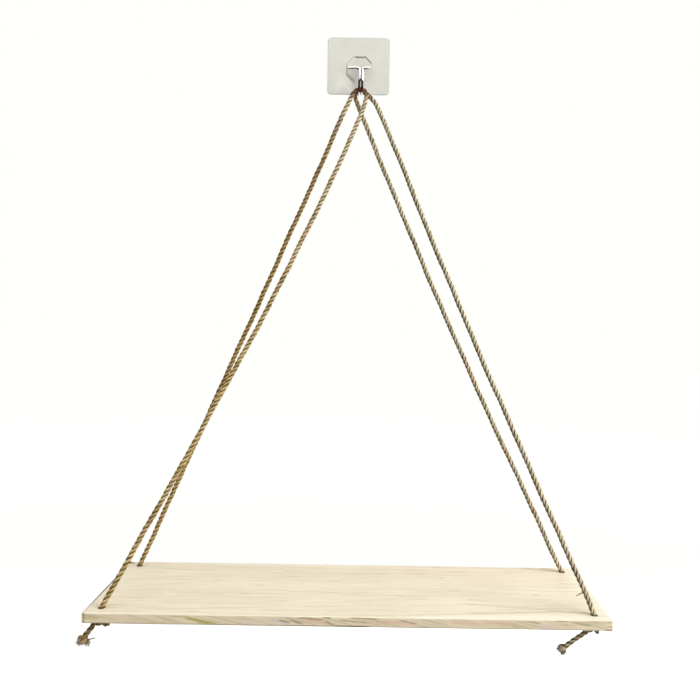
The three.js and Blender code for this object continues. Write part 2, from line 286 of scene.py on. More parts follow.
def streakGroup():
    # Fine streaks that run along the vector's Y: noise on a vector whose Y is shrunk against its X and Z.
    group, given, result = newGroup("streaks", [
        ("Vector", "NodeSocketVector", None), ("Across", "NodeSocketFloat", 1000.0),
        ("Along", "NodeSocketFloat", 60.0), ("Detail", "NodeSocketFloat", 4.0),
    ], [("Fac", "NodeSocketFloat")])
    scale = addNode(group, "CombineXYZ", inputs={
        "X": given.outputs["Across"], "Y": given.outputs["Along"], "Z": given.outputs["Across"],
    })
    stretched = addNode(group, "VectorMath", {"operation": "MULTIPLY"}, {
        0: given.outputs["Vector"], 1: scale.outputs[0],
    })
    grain = addNode(group, "TexNoise", inputs={
        "Vector": stretched.outputs[0], "Scale": 1.0, "Detail": given.outputs["Detail"], "Roughness": 0.6,
    })
    group.links.new(grain.outputs["Fac"], result.inputs["Fac"])
    return group


def smudgeGroup():
    # Handling marks: soft noise turned into a roughness between Low and High.
    group, given, result = newGroup("smudges", [
        ("Vector", "NodeSocketVector", None), ("Scale", "NodeSocketFloat", 60.0),
        ("Low", "NodeSocketFloat", 0.05), ("High", "NodeSocketFloat", 0.25),
    ], [("Roughness", "NodeSocketFloat")])
    marks = addNode(group, "TexNoise", inputs={
        "Vector": given.outputs["Vector"], "Scale": given.outputs["Scale"], "Detail": 5.0, "Roughness": 0.55,
    })
    level = spread(group, marks.outputs["Fac"], 0.35, 0.7, given.outputs["Low"], given.outputs["High"])
    group.links.new(level, result.inputs["Roughness"])
    return group


streaks = streakGroup()
smudges = smudgeGroup()


def useGroup(tree, group, inputs):
    return addNode(tree, "Group", {"node_tree": group}, inputs).outputs[0]


def maskOf(tree, name):
    return addNode(tree, "Attribute", {"attribute_name": name}).outputs["Fac"]


def anyRay(tree, kinds):
    # 1 for a ray of one of these kinds, else 0
    path = addNode(tree, "LightPath").outputs
    found = path[f"Is {kinds[0]} Ray"]
    for kind in kinds[1:]:
        found = compute(tree, "MAXIMUM", found, path[f"Is {kind} Ray"])
    return found


# Rope: three-strand jute, right-hand lay, pale hairs over grooves painted with dark brown shade

ropeFinish = {
    "pale": (0.96, 0.85, 0.62, 1),
    "straw": (0.58, 0.435, 0.205, 1),
    "olive": (0.235, 0.180, 0.055, 1),
    "rosy": (0.66, 0.42, 0.255, 1),
    "ash": (0.58, 0.50, 0.42, 1),
    "ochre": (0.85, 0.75, 0.54, 1),         # tint of the left rope
    "moss": (0.74, 0.66, 0.50, 1),          # further tint of its rear strand
    "hookStretch": (0.15, 0.045, 0.028, 1),      # dark reddish on the stretch that bears on the hook
    "tail": (0.40, 0.205, 0.110, 1),        # the untwisted ends
    "frayed": (0.21, 0.135, 0.070, 1),
    # painted shade in the grooves, on the left sides, in the holes and under the board
    "grooveShade": (0.030, 0.020, 0.005, 1),
    "fibres": {"Across": 5200.0, "Along": 260.0, "Detail": 3.0},        # streaks to the metre
    "hanks": {"Across": 620.0, "Along": 95.0, "Detail": 1.5},
    "slant": 0.35,
    "driftScale": 60.0,
    "bump": 0.28 * mm,
}

# where the colours lie: axis, start, end, value at the start, value at the end
ropeBands = {
    "ochre": [("x", 0.02, -0.10, 0.0, 1.0)],
    "moss": [("x", -0.005, -0.03, 0.0, 1.0), ("y", -0.035, -0.022, 0.0, 1.0), ("x", -0.17, -0.09, 0.4, 1.0)],
    "sunlit": [("x", 0.02, 0.05, 0.0, 1.0), ("y", -0.02, -0.06, 0.08, 0.3)],
    "hookStretch": [("z", -0.037, -0.029, 0.0, 0.85)],
    "inHoleShade": [("z", -0.4712, -0.4750, 0.0, 0.8), ("z", -0.480, -0.479, 0.0, 1.0)],         # painted shade where it goes into its hole
    "shaded": [("z", -0.4825, -0.4845, 0.0, 1.0), ("z", -0.503, -0.487, 0.0, 0.6)],       # under the board
}


def ropeMaterial():
    # Fibres and hanks run with the strand. Four coats give the patches, two tints darken the left rope, then come
    # a painted highlight on the sunlit stretch, a dark reddish stretch on the hook and the untwisted stretches, and
    # painted shade over all: in the grooves, on the left side, in the holes and under the board.
    material, tree, shader = newTree("jute")
    lay = addNode(tree, "UVMap", {"uv_map": "lay"}).outputs["UV"]
    parts = addNode(tree, "SeparateXYZ", inputs={0: lay}).outputs
    slanted = compute(tree, "MULTIPLY_ADD", parts["Y"], ropeFinish["slant"], parts["X"])
    fibreWay = addNode(tree, "CombineXYZ", inputs={"X": slanted, "Y": parts["Y"]}).outputs[0]
    fibres = useGroup(tree, streaks, {"Vector": fibreWay, **ropeFinish["fibres"]})
    hanks = useGroup(tree, streaks, {"Vector": fibreWay, **ropeFinish["hanks"]})
    place, axes = objectPlace(tree)
    drift = noise(tree, place, ropeFinish["driftScale"], 2.0)["Color"]
    hues = addNode(tree, "SeparateColor", inputs={0: drift}).outputs
    within = {name: region(tree, axes, bands) for name, bands in ropeBands.items()}

    colour = blendColours(tree, spread(tree, fibres, 0.36, 0.60), ropeFinish["straw"], ropeFinish["pale"])
    # olive over the hank streaks and the tint mask, which carries painted shade on the knots
    oliveAndKnotShade = compute(tree, "ADD", spread(tree, hanks, 0.50, 0.68, 0.0, 0.75), maskOf(tree, "tint"))
    colour = paint(tree, colour, ropeFinish, (
        (oliveAndKnotShade, "olive"), (spread(tree, hues[0], 0.52, 0.66, 0, 0.5), "rosy"),
        (spread(tree, hues[1], 0.52, 0.68, 0, 0.5), "olive"), (spread(tree, hues[2], 0.50, 0.66, 0, 0.45), "ash"),
    ))
    for tinted in ("ochre", "moss"):
        colour = blendColours(tree, within[tinted], colour, ropeFinish[tinted], "MULTIPLY")
    dark = compute(tree, "MAXIMUM", maskOf(tree, "grooveShade"), within["inHoleShade"])
    dark = compute(tree, "MAXIMUM", dark, within["shaded"])
    colour = paint(tree, colour, ropeFinish, (
        (within["sunlit"], "pale"), (within["hookStretch"], "hookStretch"), (maskOf(tree, "tail"), "tail"), (dark, "grooveShade"),
    ))
    tree.links.new(colour, shader.inputs["Base Color"])
    height = compute(tree, "MULTIPLY_ADD", hanks, 0.6, fibres)
    bump = addNode(tree, "Bump", inputs={"Strength": 0.8, "Distance": ropeFinish["bump"], "Height": height})
    tree.links.new(bump.outputs["Normal"], shader.inputs["Normal"])
    tree.links.new(spread(tree, fibres, 0.2, 0.8, 0.95, 0.75), shader.inputs["Roughness"])
    shader.inputs["Specular IOR Level"].default_value = 0.12
    return material


def hairMaterial(name, pale, dark):
    material, tree, shader = newTree(name)
    patches = noise(tree, objectPlace(tree)[0], 700.0, 1.0)["Fac"]
    colour = blendColours(tree, spread(tree, patches, 0.35, 0.65), ropeFinish[pale], ropeFinish[dark])
    tree.links.new(colour, shader.inputs["Base Color"])
    shader.inputs["Roughness"].default_value = 0.7
    return material


jute = ropeMaterial()
looseFibre = hairMaterial("loose_fibre", "straw", "olive")
frayedFibre = hairMaterial("frayed_fibre", "ash", "frayed")
# the splinter's dark patches take the brown of the painted groove shade
splinterFibre = hairMaterial("splinter", "olive", "grooveShade")

rope = {
    "diameter": 4.5 * mm,
    "ringSpacing": 1.1 * mm,
    "layLength": 14.0 * mm,
    "strandShare": 0.25,        # a strand's radius, as a share of the rope's diameter
    "helixShare": 0.26,         # how far a strand's middle lies from the rope's, likewise
    "sides": 24,
    "yarns": 5,
    "yarnDepth": 0.10,
    "yarnTurn": 13.0 * mm,
    "unevenLay": ((0.35, 21.0 * mm), (0.25, 9.0 * mm)),         # angle and length of two slow sines
    "unevenness": 0.14,         # how much a strand's radius changes along it, as a share
    "unevenLengths": (13.1 * mm, 4.7 * mm),
    "wander": 0.3 * mm,         # how far the taut rope strays from its route
    "wanderLengths": (31.0 * mm, 12.7 * mm),
    "furrow": 0.45,             # how low between two yarns the groove mask starts
    "leftShade": 0.92,              # painted shade on the left side, away from the light, in patches
    "leftShadeLengths": (17.0 * mm, 6.3 * mm),
    "leftShadeEdge": (0.45, 0.20),  # how far to the left it starts, and how far when it is steady
    "steadyLeftShade": 0.75,        # how far it has no gaps on the right rope and the tails
    "roundEnd": 2.0 * mm,
    "grooveAngles": (math.radians(48), math.radians(90)),       # from a strand's inner line, dark and clear
}

knot = {
    "diameter": 4.15 * mm,
    "ringRadius": 4.6,
    "lobeRadius": 2.2,
    "holeReach": 7.0,           # from the ring's middle to the hole's
    "ringSpacing": 0.5 * mm,
    "rise": -4.2,               # the knot's middle under the board's underside
    "points": 16,
    "boardBottom": -483.0,
    "inHole": 3.0 * mm,         # its first stretch, which the hole squeezes
    "swellLength": 12.0 * mm,   # the last stretch of a tail, where the rope slackens and thickens
    "swell": 0.22,
    "splayLength": 5.5 * mm,    # where its strands come apart
    "flareLength": 4.5 * mm,    # where each strand swells into its own tuft
    "flare": 1.0,
    "brushHairs": 600,          # on each of a tail's three strands
    "brushRadius": 0.12 * mm,
    "brushReach": (0.3, 1.7),   # how far from the strand's middle they root
    "brushDepth": (1.4, 2.6),   # how far inside its end
    "brushLength": (1.4, 2.5),
    "brushFan": 0.45,
}

leftRopeRoute = [
    [-198, -12, -479.7], [-198, -12, -477], [-197.4, -12, -473.5], [-195.2, -12, -468.3],
    [-185.6, -12.2, -447], [-173.4, -12.3, -419], [-154.7, -12.6, -376], [-135.8, -12.9, -333],
    [-117, -13.3, -290], [-98.6, -13.7, -247.7], [-80.1, -14.1, -205.3], [-61.9, -14.4, -163],
    [-43.5, -14.8, -120.7], [-15.8, -15.3, -55], [-9.1, -15.4, -40], [-6, -15.4, -33.6],
    [-4.3, -15.4, -30.6], [-2.3, -15.4, -28.2], [0, -15.4, -26.8], [2.5, -15.4, -26.3],
    [4.9, -15.4, -26.8], [6.9, -15.4, -28.7], [7.8, -15.5, -31.6], [7.5, -15.9, -35.4],
    [6.2, -17.1, -41.5], [3.8, -19.4, -49.2], [-1.4, -23, -64.1], [-7.9, -26.6, -79.7],
    [-19.7, -33.1, -108], [-38, -42.8, -150], [-60.3, -54.4, -200], [-84, -66, -250],
    [-108.7, -77.5, -300], [-131.3, -87.9, -345], [-175.5, -107.8, -431.2], [-187.4, -113.2, -454.5],
    [-194.2, -116.2, -467.5], [-197.3, -117.6, -473.7], [-198, -118, -477], [-198, -118, -479.7],
]
rightRopeRoute = [
    [198, -12, -479.7], [198, -12, -477], [197.3, -12, -473.5], [194.9, -12, -468.8],
    [188, -11.9, -454.5], [174.7, -11.8, -426.6], [154.5, -11.6, -384.6], [134.3, -11.4, -342.8],
    [114.5, -11.3, -300.8], [95.2, -11.1, -258.9], [76.3, -10.9, -216.9], [57.9, -10.7, -174.9],
    [39.5, -10.5, -132.9], [21.5, -10.3, -90.8], [8.9, -10.2, -60.9], [1.2, -10.2, -42],
    [-1.6, -10.2, -35.6], [-2.8, -10.2, -32.4], [-2.6, -10.2, -29.9], [-1.4, -10.2, -27.9],
    [0.6, -10.2, -26.6], [3, -10.2, -26.3], [5.6, -10.2, -26.9], [8.3, -10.3, -28.7],
    [11.2, -10.6, -31.6], [14.2, -11.2, -35], [17, -12, -38.7], [23.8, -15.8, -54.5],
    [33.5, -21.5, -78], [50.9, -32.2, -122], [72.6, -45.5, -177.5], [94.5, -58.7, -231],
    [115.7, -71.2, -282.5], [137, -83.3, -332.2], [157.7, -95, -380.2], [177.8, -106.3, -426.5],
    [195, -116.1, -467], [197.3, -117.5, -473.5], [198, -118, -477], [198, -118, -479.7],
]


def laidStrands(course, openness, flare, seed, aim=None):
    # Each strand's middle runs round the rope's line: angle = turn * along / lay + a third of a turn
    # each, plus two slow sines that make the lay uneven. Its section is a circle with the yarns as
    # shallow scallops, which turn the other way. With aim, the first strand ends on that side.
    # openness (one value a ring) unlays the strands: it adds to the helix's radius. flare swells them.
    # The groove mask is painted shade: dark towards the rope's middle, between the yarns and, in patches, on
    # its left side, away from the light. On tails and on the right rope that left side is steady: it has fewer gaps
    # and reaches further.
    line, along, sideA, sideB, diameter = course
    draw = np.random.default_rng(seed)
    parts, uv, grooveShade, tint, tips = [], [], [], [], []
    uneven = sum(size * np.sin(along / length + draw.uniform(0, turn)) for size, length in rope["unevenLay"])
    if aim is not None:
        aimed = math.atan2(np.dot(aim, sideB[-1]), np.dot(aim, sideA[-1]))
        uneven += aimed - turn * along[-1] / rope["layLength"] - uneven[-1]
    sides = rope["sides"]
    corner = turn * np.arange(sides) / sides
    inward = smoothStep(np.minimum(corner, turn - corner), *rope["grooveAngles"])
    girth = turn * rope["strandShare"] * diameter.max()
    patches = 0.5 + 0.5 * slowWave(along, rope["leftShadeLengths"], (seed, 2 * seed))
    steady = smoothStep(line[:, 0], 0.02, 0.05) if aim is None else np.ones(len(line))
    patches += (1 - patches) * rope["steadyLeftShade"] * steady
    edge = (rope["leftShadeEdge"][0] + np.diff(rope["leftShadeEdge"]) * steady)[:, None]
    short = np.clip(1 - np.minimum(along, along[-1] - along) / rope["roundEnd"], 0, 1)
    closed = np.clip(1 - openness / (0.2 * rope["diameter"]), 0.25, 1)
    for k in range(3):
        angle = turn * along / rope["layLength"] + turn * k / 3 + uneven
        out = np.cos(angle)[:, None] * sideA + np.sin(angle)[:, None] * sideB
        helix = rope["helixShare"] * diameter + openness
        middle = line + helix[:, None] * out
        ahead = unit(np.gradient(middle, axis=0))
        across = unit(out - ahead * np.sum(out * ahead, axis=1, keepdims=True))
        swing = slowWave(along, rope["unevenLengths"], (draw.uniform(0, turn), draw.uniform(0, turn)))
        wander = flare * (1 + rope["unevenness"] * swing)
        yarnAngle = corner[None] + turn * along[:, None] / rope["yarnTurn"]
        scallop = np.abs(np.cos(rope["yarns"] / 2 * yarnAngle))
        radii = (rope["strandShare"] * diameter * wander)[:, None] * (1 + rope["yarnDepth"] * (scallop - 0.7))
        radii *= np.sqrt(np.clip(1 - short ** 2, 0.03, 1))[:, None]      # half a ball closes each end
        parts.append(sweep(middle, across, np.cross(ahead, across), radii))
        uv.append(sweepUv(along + 0.37 * k, girth, sides))
        skin = parts[-1][0][:-2].reshape(len(along), sides, 3)
        leftward = (line[:, None, 0] - skin[..., 0]) / (0.5 * diameter[:, None])
        leftShade = rope["leftShade"] * patches[:, None] * smoothStep(leftward, edge, edge + 0.5)
        furrow = 0.5 * np.clip(1 - scallop / rope["furrow"], 0, 1)
        dark = np.maximum(np.maximum(inward[None], leftShade) * closed[:, None], furrow)
        grooveShade.append(np.concatenate([dark.ravel(), [0.6, 0.6]]))
        # each strand's olive share: a random tone, and 0.3 more on the knots as painted shade under the board
        tint.append(np.full(len(parts[-1][0]), draw.uniform(0, 0.2) + (0.3 if aim is not None else 0)))
        tips.append((middle[-1], unit(middle[-1] - middle[-4])))
    points, faces = joined(parts)
    return points, faces, np.vstack(uv), {"grooveShade": np.concatenate(grooveShade), "tint": np.concatenate(tint)}, tips


def addRope(name, course, openness, flare, seed, aim=None):
    # The mask "tail" follows how far the strands have come apart: the square root of its share.
    points, faces, uv, masks, tips = laidStrands(course, openness, flare, seed, aim)
    piece = newPiece(name, points, faces, "shelf", "rope", jute)
    layer = piece.data.uv_layers.new(name="lay")
    layer.data.foreach_set("uv", uv.astype(np.float32).ravel())
    apart = np.repeat((openness / max(openness.max(), mm)) ** 0.5, rope["sides"])
    masks["tail"] = np.outer((0.85, 0.5, 0.6), np.concatenate([apart, [0, apart[-1]]])).ravel()
    for label, values in masks.items():
        addMask(piece, label, values)
    return piece, tips


def hairMesh(middles, radii):
    # middles (hair, step, 3), radii (hair, step): each hair is a three-sided tube closed at both ends.
    hairs, steps = radii.shape
    ahead = unit(np.gradient(middles, axis=1))
    guide = unit(np.cross(ahead, np.array([0.31, 0.55, 0.77])))
    other = np.cross(ahead, guide)
    angle = turn * np.arange(3)[:, None] / 3
    out = np.cos(angle) * guide[:, :, None] + np.sin(angle) * other[:, :, None]
    points = (middles[:, :, None] + radii[..., None, None] * out).reshape(-1, 3)
    first = np.arange(hairs) * steps * 3
    last = first + (steps - 1) * 3
    quads = (first[:, None, None] + ringQuads(steps, 3)).reshape(-1, 4)
    start = np.stack([first + 2, first + 1, first], axis=-1)
    end = np.stack([last, last + 1, last + 2], axis=-1)
    return points, quads.tolist() + start.tolist() + end.tolist()


fuzz = {
    "perMetre": 1900,
    "shortest": 1.4 * mm,
    "longest": 6.0 * mm,
    "lift": (0.42 * mm, 2.2 * mm),          # how far its tip stands off, mostly and at most
    "thickness": 0.040 * mm,    # radius at the root
    "highest": -38.0 * mm,      # above this the hook has rubbed them off
    "steps": 6,
}


def addFuzz(name, course, seed):
    # A hair starts on the rope's skin, runs along the lay and lifts off it with the power 1.6 of its
    # own length, so it peels away slowly and then faster. One that reaches too near the hook is left out.
    line, along, sideA, sideB, diameter = course
    draw = np.random.default_rng(seed)
    count = int(fuzz["perMetre"] * along[-1])
    q = np.linspace(0, 1, fuzz["steps"])[None]
    start = draw.uniform(0, along[-1], (count, 1))
    way = draw.choice([-1, 1], (count, 1))
    long = fuzz["shortest"] + (fuzz["longest"] - fuzz["shortest"]) * draw.uniform(0, 1, (count, 1)) ** 2.2
    usual, most = fuzz["lift"]
    lift = np.minimum(draw.exponential(usual, (count, 1)), most)
    lean = turn / rope["layLength"] * draw.normal(0.25, 0.5, (count, 1))
    s = np.clip(start + way * long * q, 0, along[-1])
    angle = draw.uniform(0, turn, (count, 1)) + lean * (s - start) + draw.normal(0, 0.4, (count, 1)) * q ** 2
    width = np.interp(start, along, diameter)
    reach = 0.43 * width + 0.10 * width * q + lift * q ** 1.6
    middle, onA, onB = (
        np.stack([np.interp(s, along, field[:, i]) for i in range(3)], axis=-1) for field in (line, sideA, sideB)
    )
    middles = middle + reach[..., None] * (np.cos(angle)[..., None] * onA + np.sin(angle)[..., None] * onB)
    radii = fuzz["thickness"] * draw.uniform(0.6, 1.3, (count, 1)) * (1 - 0.75 * q)
    kept = middles[..., 2].max(axis=1) < fuzz["highest"]
    points, faces = hairMesh(middles[kept], radii[kept])
    return newPiece(name, points, faces, "shelf", "rope", looseFibre)


def addHangingRope(name, route, seed):
    # The line strays to either side of its route by products of two slow sines.
    line, along = evenLine(np.array(route) * mm, rope["ringSpacing"])
    sideA, sideB = carriedSides(line, (1, 0, 0))
    for side, phase in ((sideA, seed), (sideB, seed + 2)):
        stray = slowWave(along, rope["wanderLengths"], (phase, 3 * phase))
        line = line + rope["wander"] * stray[:, None] * side
    course = (line, along, sideA, sideB, np.full(len(along), rope["diameter"]))
    still = np.zeros(len(along))
    piece, _ = addRope(name + "_strands", course, still, 1 + still, seed)
    hairs = addFuzz(name + "_fuzz", course, seed + 50)
    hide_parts(name)
    print(name, "length", round(float(along[-1]), 4), "faces", len(piece.data.polygons))
    return piece, hairs, line, float(along[-1])


hungRopes = {
    "left": addHangingRope("left_rope", leftRopeRoute, 3),
    "right": addHangingRope("right_rope", rightRopeRoute, 4),
}


# Stopper knots: the rope drawn tight under each hole, with a frayed tail

knotEntryRoute = [[0, 0, 3], [0, 0, 0.2], [0, -0.2, -1.8], [-0.3, -1.2, -3.8]]
tailRoutes = {
    "front_left": [
        [-2.5, 4.6, -2.1], [0.2, 4.9, -3], [2, 5.4, -4.6], [3.2, 6.6, -6.6],
        [4, 8.5, -9.2], [4.5, 10.5, -11.9], [4.7, 12.1, -14.6], [4.8, 13.2, -17.2],
    ],
    "front_right": [
        [-2.5, 4.6, -2.1], [0.2, 4.9, -2.9], [2, 5.9, -3.9], [3, 8.4, -5.3],
        [3.4, 12.6, -7.9], [3.6, 17.4, -11.2], [3.6, 22.2, -14.8], [3.4, 27.2, -18.6],
    ],
    "rear_left": [
        [-2.5, 4.6, -2.1], [0.2, 4.9, -3], [2, 5.3, -4.8], [3.1, 5.4, -7.6],
        [3.4, 5, -11.6], [3.1, 4.4, -16], [2.4, 3.9, -20.6], [1.6, 3.8, -25.2],
    ],
    "rear_right": [
        [-2.5, 4.6, -2.1], [0.2, 4.9, -3], [1.9, 5.7, -4.8], [2.9, 6.9, -7.6],
        [2.9, 8.6, -11.4], [2.4, 10.4, -15.4], [1.8, 12.6, -19.4], [1.4, 15.4, -23.2],
    ],
}
knotPlaces = {
    "front_left": {"hole": (-198, -118), "towards": (0, -1), "across": (-1, 0), "splay": 2.4 * mm},
    "front_right": {"hole": (198, -118), "towards": (0, -1), "across": (-1, 0), "splay": 1.0 * mm},
    "rear_left": {"hole": (-198, -12), "towards": (-1, 0), "across": (0, 1), "splay": 2.0 * mm},
    "rear_right": {"hole": (198, -12), "towards": (1, 0), "across": (0, -1), "splay": 1.6 * mm},
}


def knotRoute(corner):
    # The ring part is a three-lobed overhand knot: reach = ring + lobe * cos(3a) at the angle 2a,
    # height lobe * sin(3a), for a from just under 0 to 11/12 of a turn the other way.
    a = np.linspace(-turn / 24, -11 * turn / 12, knot["points"])
    reach = knot["ringRadius"] + knot["lobeRadius"] * np.cos(3 * a)
    ring = np.stack([
        reach * np.cos(2 * a) - knot["holeReach"], reach * np.sin(2 * a),
        knot["rise"] + knot["lobeRadius"] * np.sin(3 * a),
    ], axis=1)
    local = np.vstack([knotEntryRoute, ring, tailRoutes[corner]])
    place = knotPlaces[corner]
    flat = local[:, :1] * place["towards"] + local[:, 1:2] * place["across"] + place["hole"]
    return np.column_stack([flat, knot["boardBottom"] + local[:, 2]]) * mm


def addBrush(name, tips, seed):
    # Fibres leave each strand's cut end: a fibre's way is the strand's own, plus its place in the end's
    # round section times a spread, plus chance, and it bends outwards with the square of its length.
    draw = np.random.default_rng(seed)
    count = knot["brushHairs"]
    q = np.linspace(0, 1, 5)[None, :, None]
    middles = []
    for end, way in tips:
        offset = unit(draw.normal(0, 1, (count, 1, 3))) * draw.uniform(*knot["brushReach"], (count, 1, 1))
        root = end + offset * mm - way * draw.uniform(*knot["brushDepth"], (count, 1, 1)) * mm
        fan = knot["brushFan"] * offset + draw.normal(0, 0.10, (count, 1, 3))
        long = draw.uniform(*knot["brushLength"], (count, 1, 1)) * mm
        curl = draw.normal(0, 0.12, (count, 1, 3))
        middles.append(root + long * (way * q + fan * q + curl * q ** 2))
    middles = np.concatenate(middles)
    radii = knot["brushRadius"] * draw.uniform(0.6, 1.3, (len(middles), 1)) * (1 - 0.5 * q[..., 0])
    points, faces = hairMesh(middles, radii)
    return newPiece(name, points, faces, "shelf", "rope", frayedFibre)


def addKnot(corner, seed):
    # The first strand of a tail ends to the side that is square to the tail and to the line of sight.
    # For the last stretches of its length the rope swells, its strands splay and each flares to a tuft.
    line, along = evenLine(knotRoute(corner), knot["ringSpacing"])
    left = along[-1] - along
    swell, splay, flare = (
        np.clip(1 - left / knot[stretch], 0, 1) for stretch in ("swellLength", "splayLength", "flareLength")
    )
    diameter = np.where(along < knot["inHole"], 0.9 * rope["diameter"], knot["diameter"])
    diameter = diameter * (1 + knot["swell"] * swell)
    course = (line, along, *carriedSides(line, (1, 0, 0)), diameter)
    aim = np.cross(line[-1] - line[-3], line[-1] - camera["place"])
    piece, tips = addRope(
        f"knot_{corner}_strands", course, knotPlaces[corner]["splay"] * splay ** 1.7, 1 + knot["flare"] * flare,
        seed, aim,
    )
    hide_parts(f"knot_{corner}")
    hairs = addFuzz(f"knot_{corner}_fuzz", course, seed + 50)
    brush = addBrush(f"tail_{corner}_brush", tips, seed + 80)
    return [piece, hairs, brush]


# Coarse splinters of fibre that stand off the front strands and the left tail

whisker = {"radius": 0.55 * mm, "sides": 7, "ringSpacing": 0.5 * mm}
whiskerRoutes = {
    "left": [
        [(-181.0, -110.3, -442.3), (-177.6, -110.6, -440.7), (-174.2, -110.9, -441.5)],
        [(-207.5, -122.8, -499.2), (-203.8, -123.4, -497.9), (-200.6, -123.6, -497.0)],
    ],
    "right": [[(191.4, -113.8, -458.0), (187.6, -115.0, -458.9), (184.1, -116.0, -460.4)]],
}


def addWhisker(name, route, seed):
    # A short tapered tube with a crooked middle line, its radius falling with the root of what is left.
    draw = np.random.default_rng(seed)
    line, along = evenLine(np.array(route) * mm, whisker["ringSpacing"])
    sideA, sideB = carriedSides(line, (0, 0, 1))
    taper = np.sqrt(0.7 * (1 - along / along[-1]) + 0.3)
    radii = whisker["radius"] * taper[:, None] * draw.uniform(0.75, 1.2, (len(along), whisker["sides"]))
    points, faces = joined([sweep(line, sideA, sideB, radii)])
    return newPiece(name, points, faces, "shelf", "rope", splinterFibre)


knots = {corner: addKnot(corner, 20 + i) for i, corner in enumerate(knotPlaces)}
for side, (piece, hairs, line, length) in hungRopes.items():
    splinters = [addWhisker(f"{side}_splinter_{i}", route, 40 + i) for i, route in enumerate(whiskerRoutes[side])]
print("ropes and knots made")


# Wooden board with four drilled holes

board = {
    "width": 420.0 * mm,
    "depth": 130.0 * mm,
    "top": -475.0 * mm,
    "bottom": -483.0 * mm,
    "cornerRadius": 1.2 * mm,
    "ease": 0.6 * mm,
    "easeWear": 0.3,            # how much the worn edge's rounding changes along it, as a share
    "wearLengths": (21.0 * mm, 8.3 * mm),
    "wornSpot": (0.25, 0.25, 4.0 * mm),     # share, place on the rim and half length of one more dent
    "holes": [(-198, -12), (198, -12), (-198, -118), (198, -118)],
    "holeRadius": 2.6 * mm,     # the rope and its fluff close the drilled hole a little
    "gridStep": (2.0 * mm, 0.8 * mm),       # along X and along Y
    "sideRows": 13,
    "patchHalf": 8.0 * mm,      # half the side of the square of grid that each hole replaces
    "chamfer": 0.35 * mm,       # of the holes' mouths
    "patchRings": 5,
    "unlevel": 0.06 * mm,       # how far its faces rise and sink
}

woodFinish = {
    "pale": (0.965, 0.875, 0.67, 1),
    "mid": (0.87, 0.78, 0.568, 1),
    "line": (0.56, 0.455, 0.275, 1),
    # painted highlight: the sunlit right end, glints, pale strokes and the rounded top edges
    "highlight": (0.985, 0.93, 0.76, 1),
    "rosy": (0.95, 0.78, 0.60, 1),
    "side": (0.81, 0.69, 0.485, 1),
    "sideShade": (0.53, 0.44, 0.29, 1),
    "sideRosy": (0.73, 0.50, 0.37, 1),
    "sideLilac": (0.67, 0.59, 0.53, 1),
    "olive": (0.40, 0.36, 0.085, 1),
    "deepOlive": (0.12, 0.095, 0.035, 1),
    "endGrain": (0.50, 0.42, 0.29, 1),
    "endEdge": (0.06, 0.058, 0.055, 1),
    # painted shade inside the holes
    "holeShade": (0.07, 0.045, 0.025, 1),
    "clouds": {"Across": 42.0, "Along": 7.0, "Detail": 3.0},        # streaks to the metre
    "fibres": {"Across": 1500.0, "Along": 26.0, "Detail": 5.0},
    "flecks": {"Across": 330.0, "Along": 44.0, "Detail": 2.0},
    "glints": {"Across": 400.0, "Along": 60.0, "Detail": 1.5},
    "sideFigure": {"Across": 520.0, "Along": 30.0, "Detail": 4.0},
    "glintShift": (0.4, 0.7, 0.2),
    "ringsPerMetre": 120.0,
    "ringLean": 2.4,
    "ringBend": 0.060,
    "sideSlope": 0.24,
    "endLine": 0.2078,          # where the dark line before the left end is
    "bump": 0.18 * mm,
}

# where the colours lie: axis, start, end, value at the start, value at the end
woodBands = {
    "rosyRight": [("x", -0.02, 0.13, 0.25, 1.0), ("y", -0.075, -0.012, 0.0, 0.55)],
    "rosyCorner": [("x", -0.175, -0.203, 0.0, 1.0), ("y", -0.045, -0.095, 0.0, 0.4)],
    "sunlit": [("x", 0.190, 0.212, 0.0, 0.9)],
    "end": [("reach", 0.2085, 0.2096, 0.0, 1.0)],
    "endLine": [("offLine", 0.0007, 0.0002, 0.0, 0.55)],
    "endEdge": [
        ("reach", 0.2081, 0.2088, 0.0, 1.0), ("x", 0.1, -0.1, 0.05, 1.0),
        ("y", -0.125, -0.088, 0.3, 1.0), ("z", -0.4762, -0.4756, 0.0, 1.0),
    ],
}
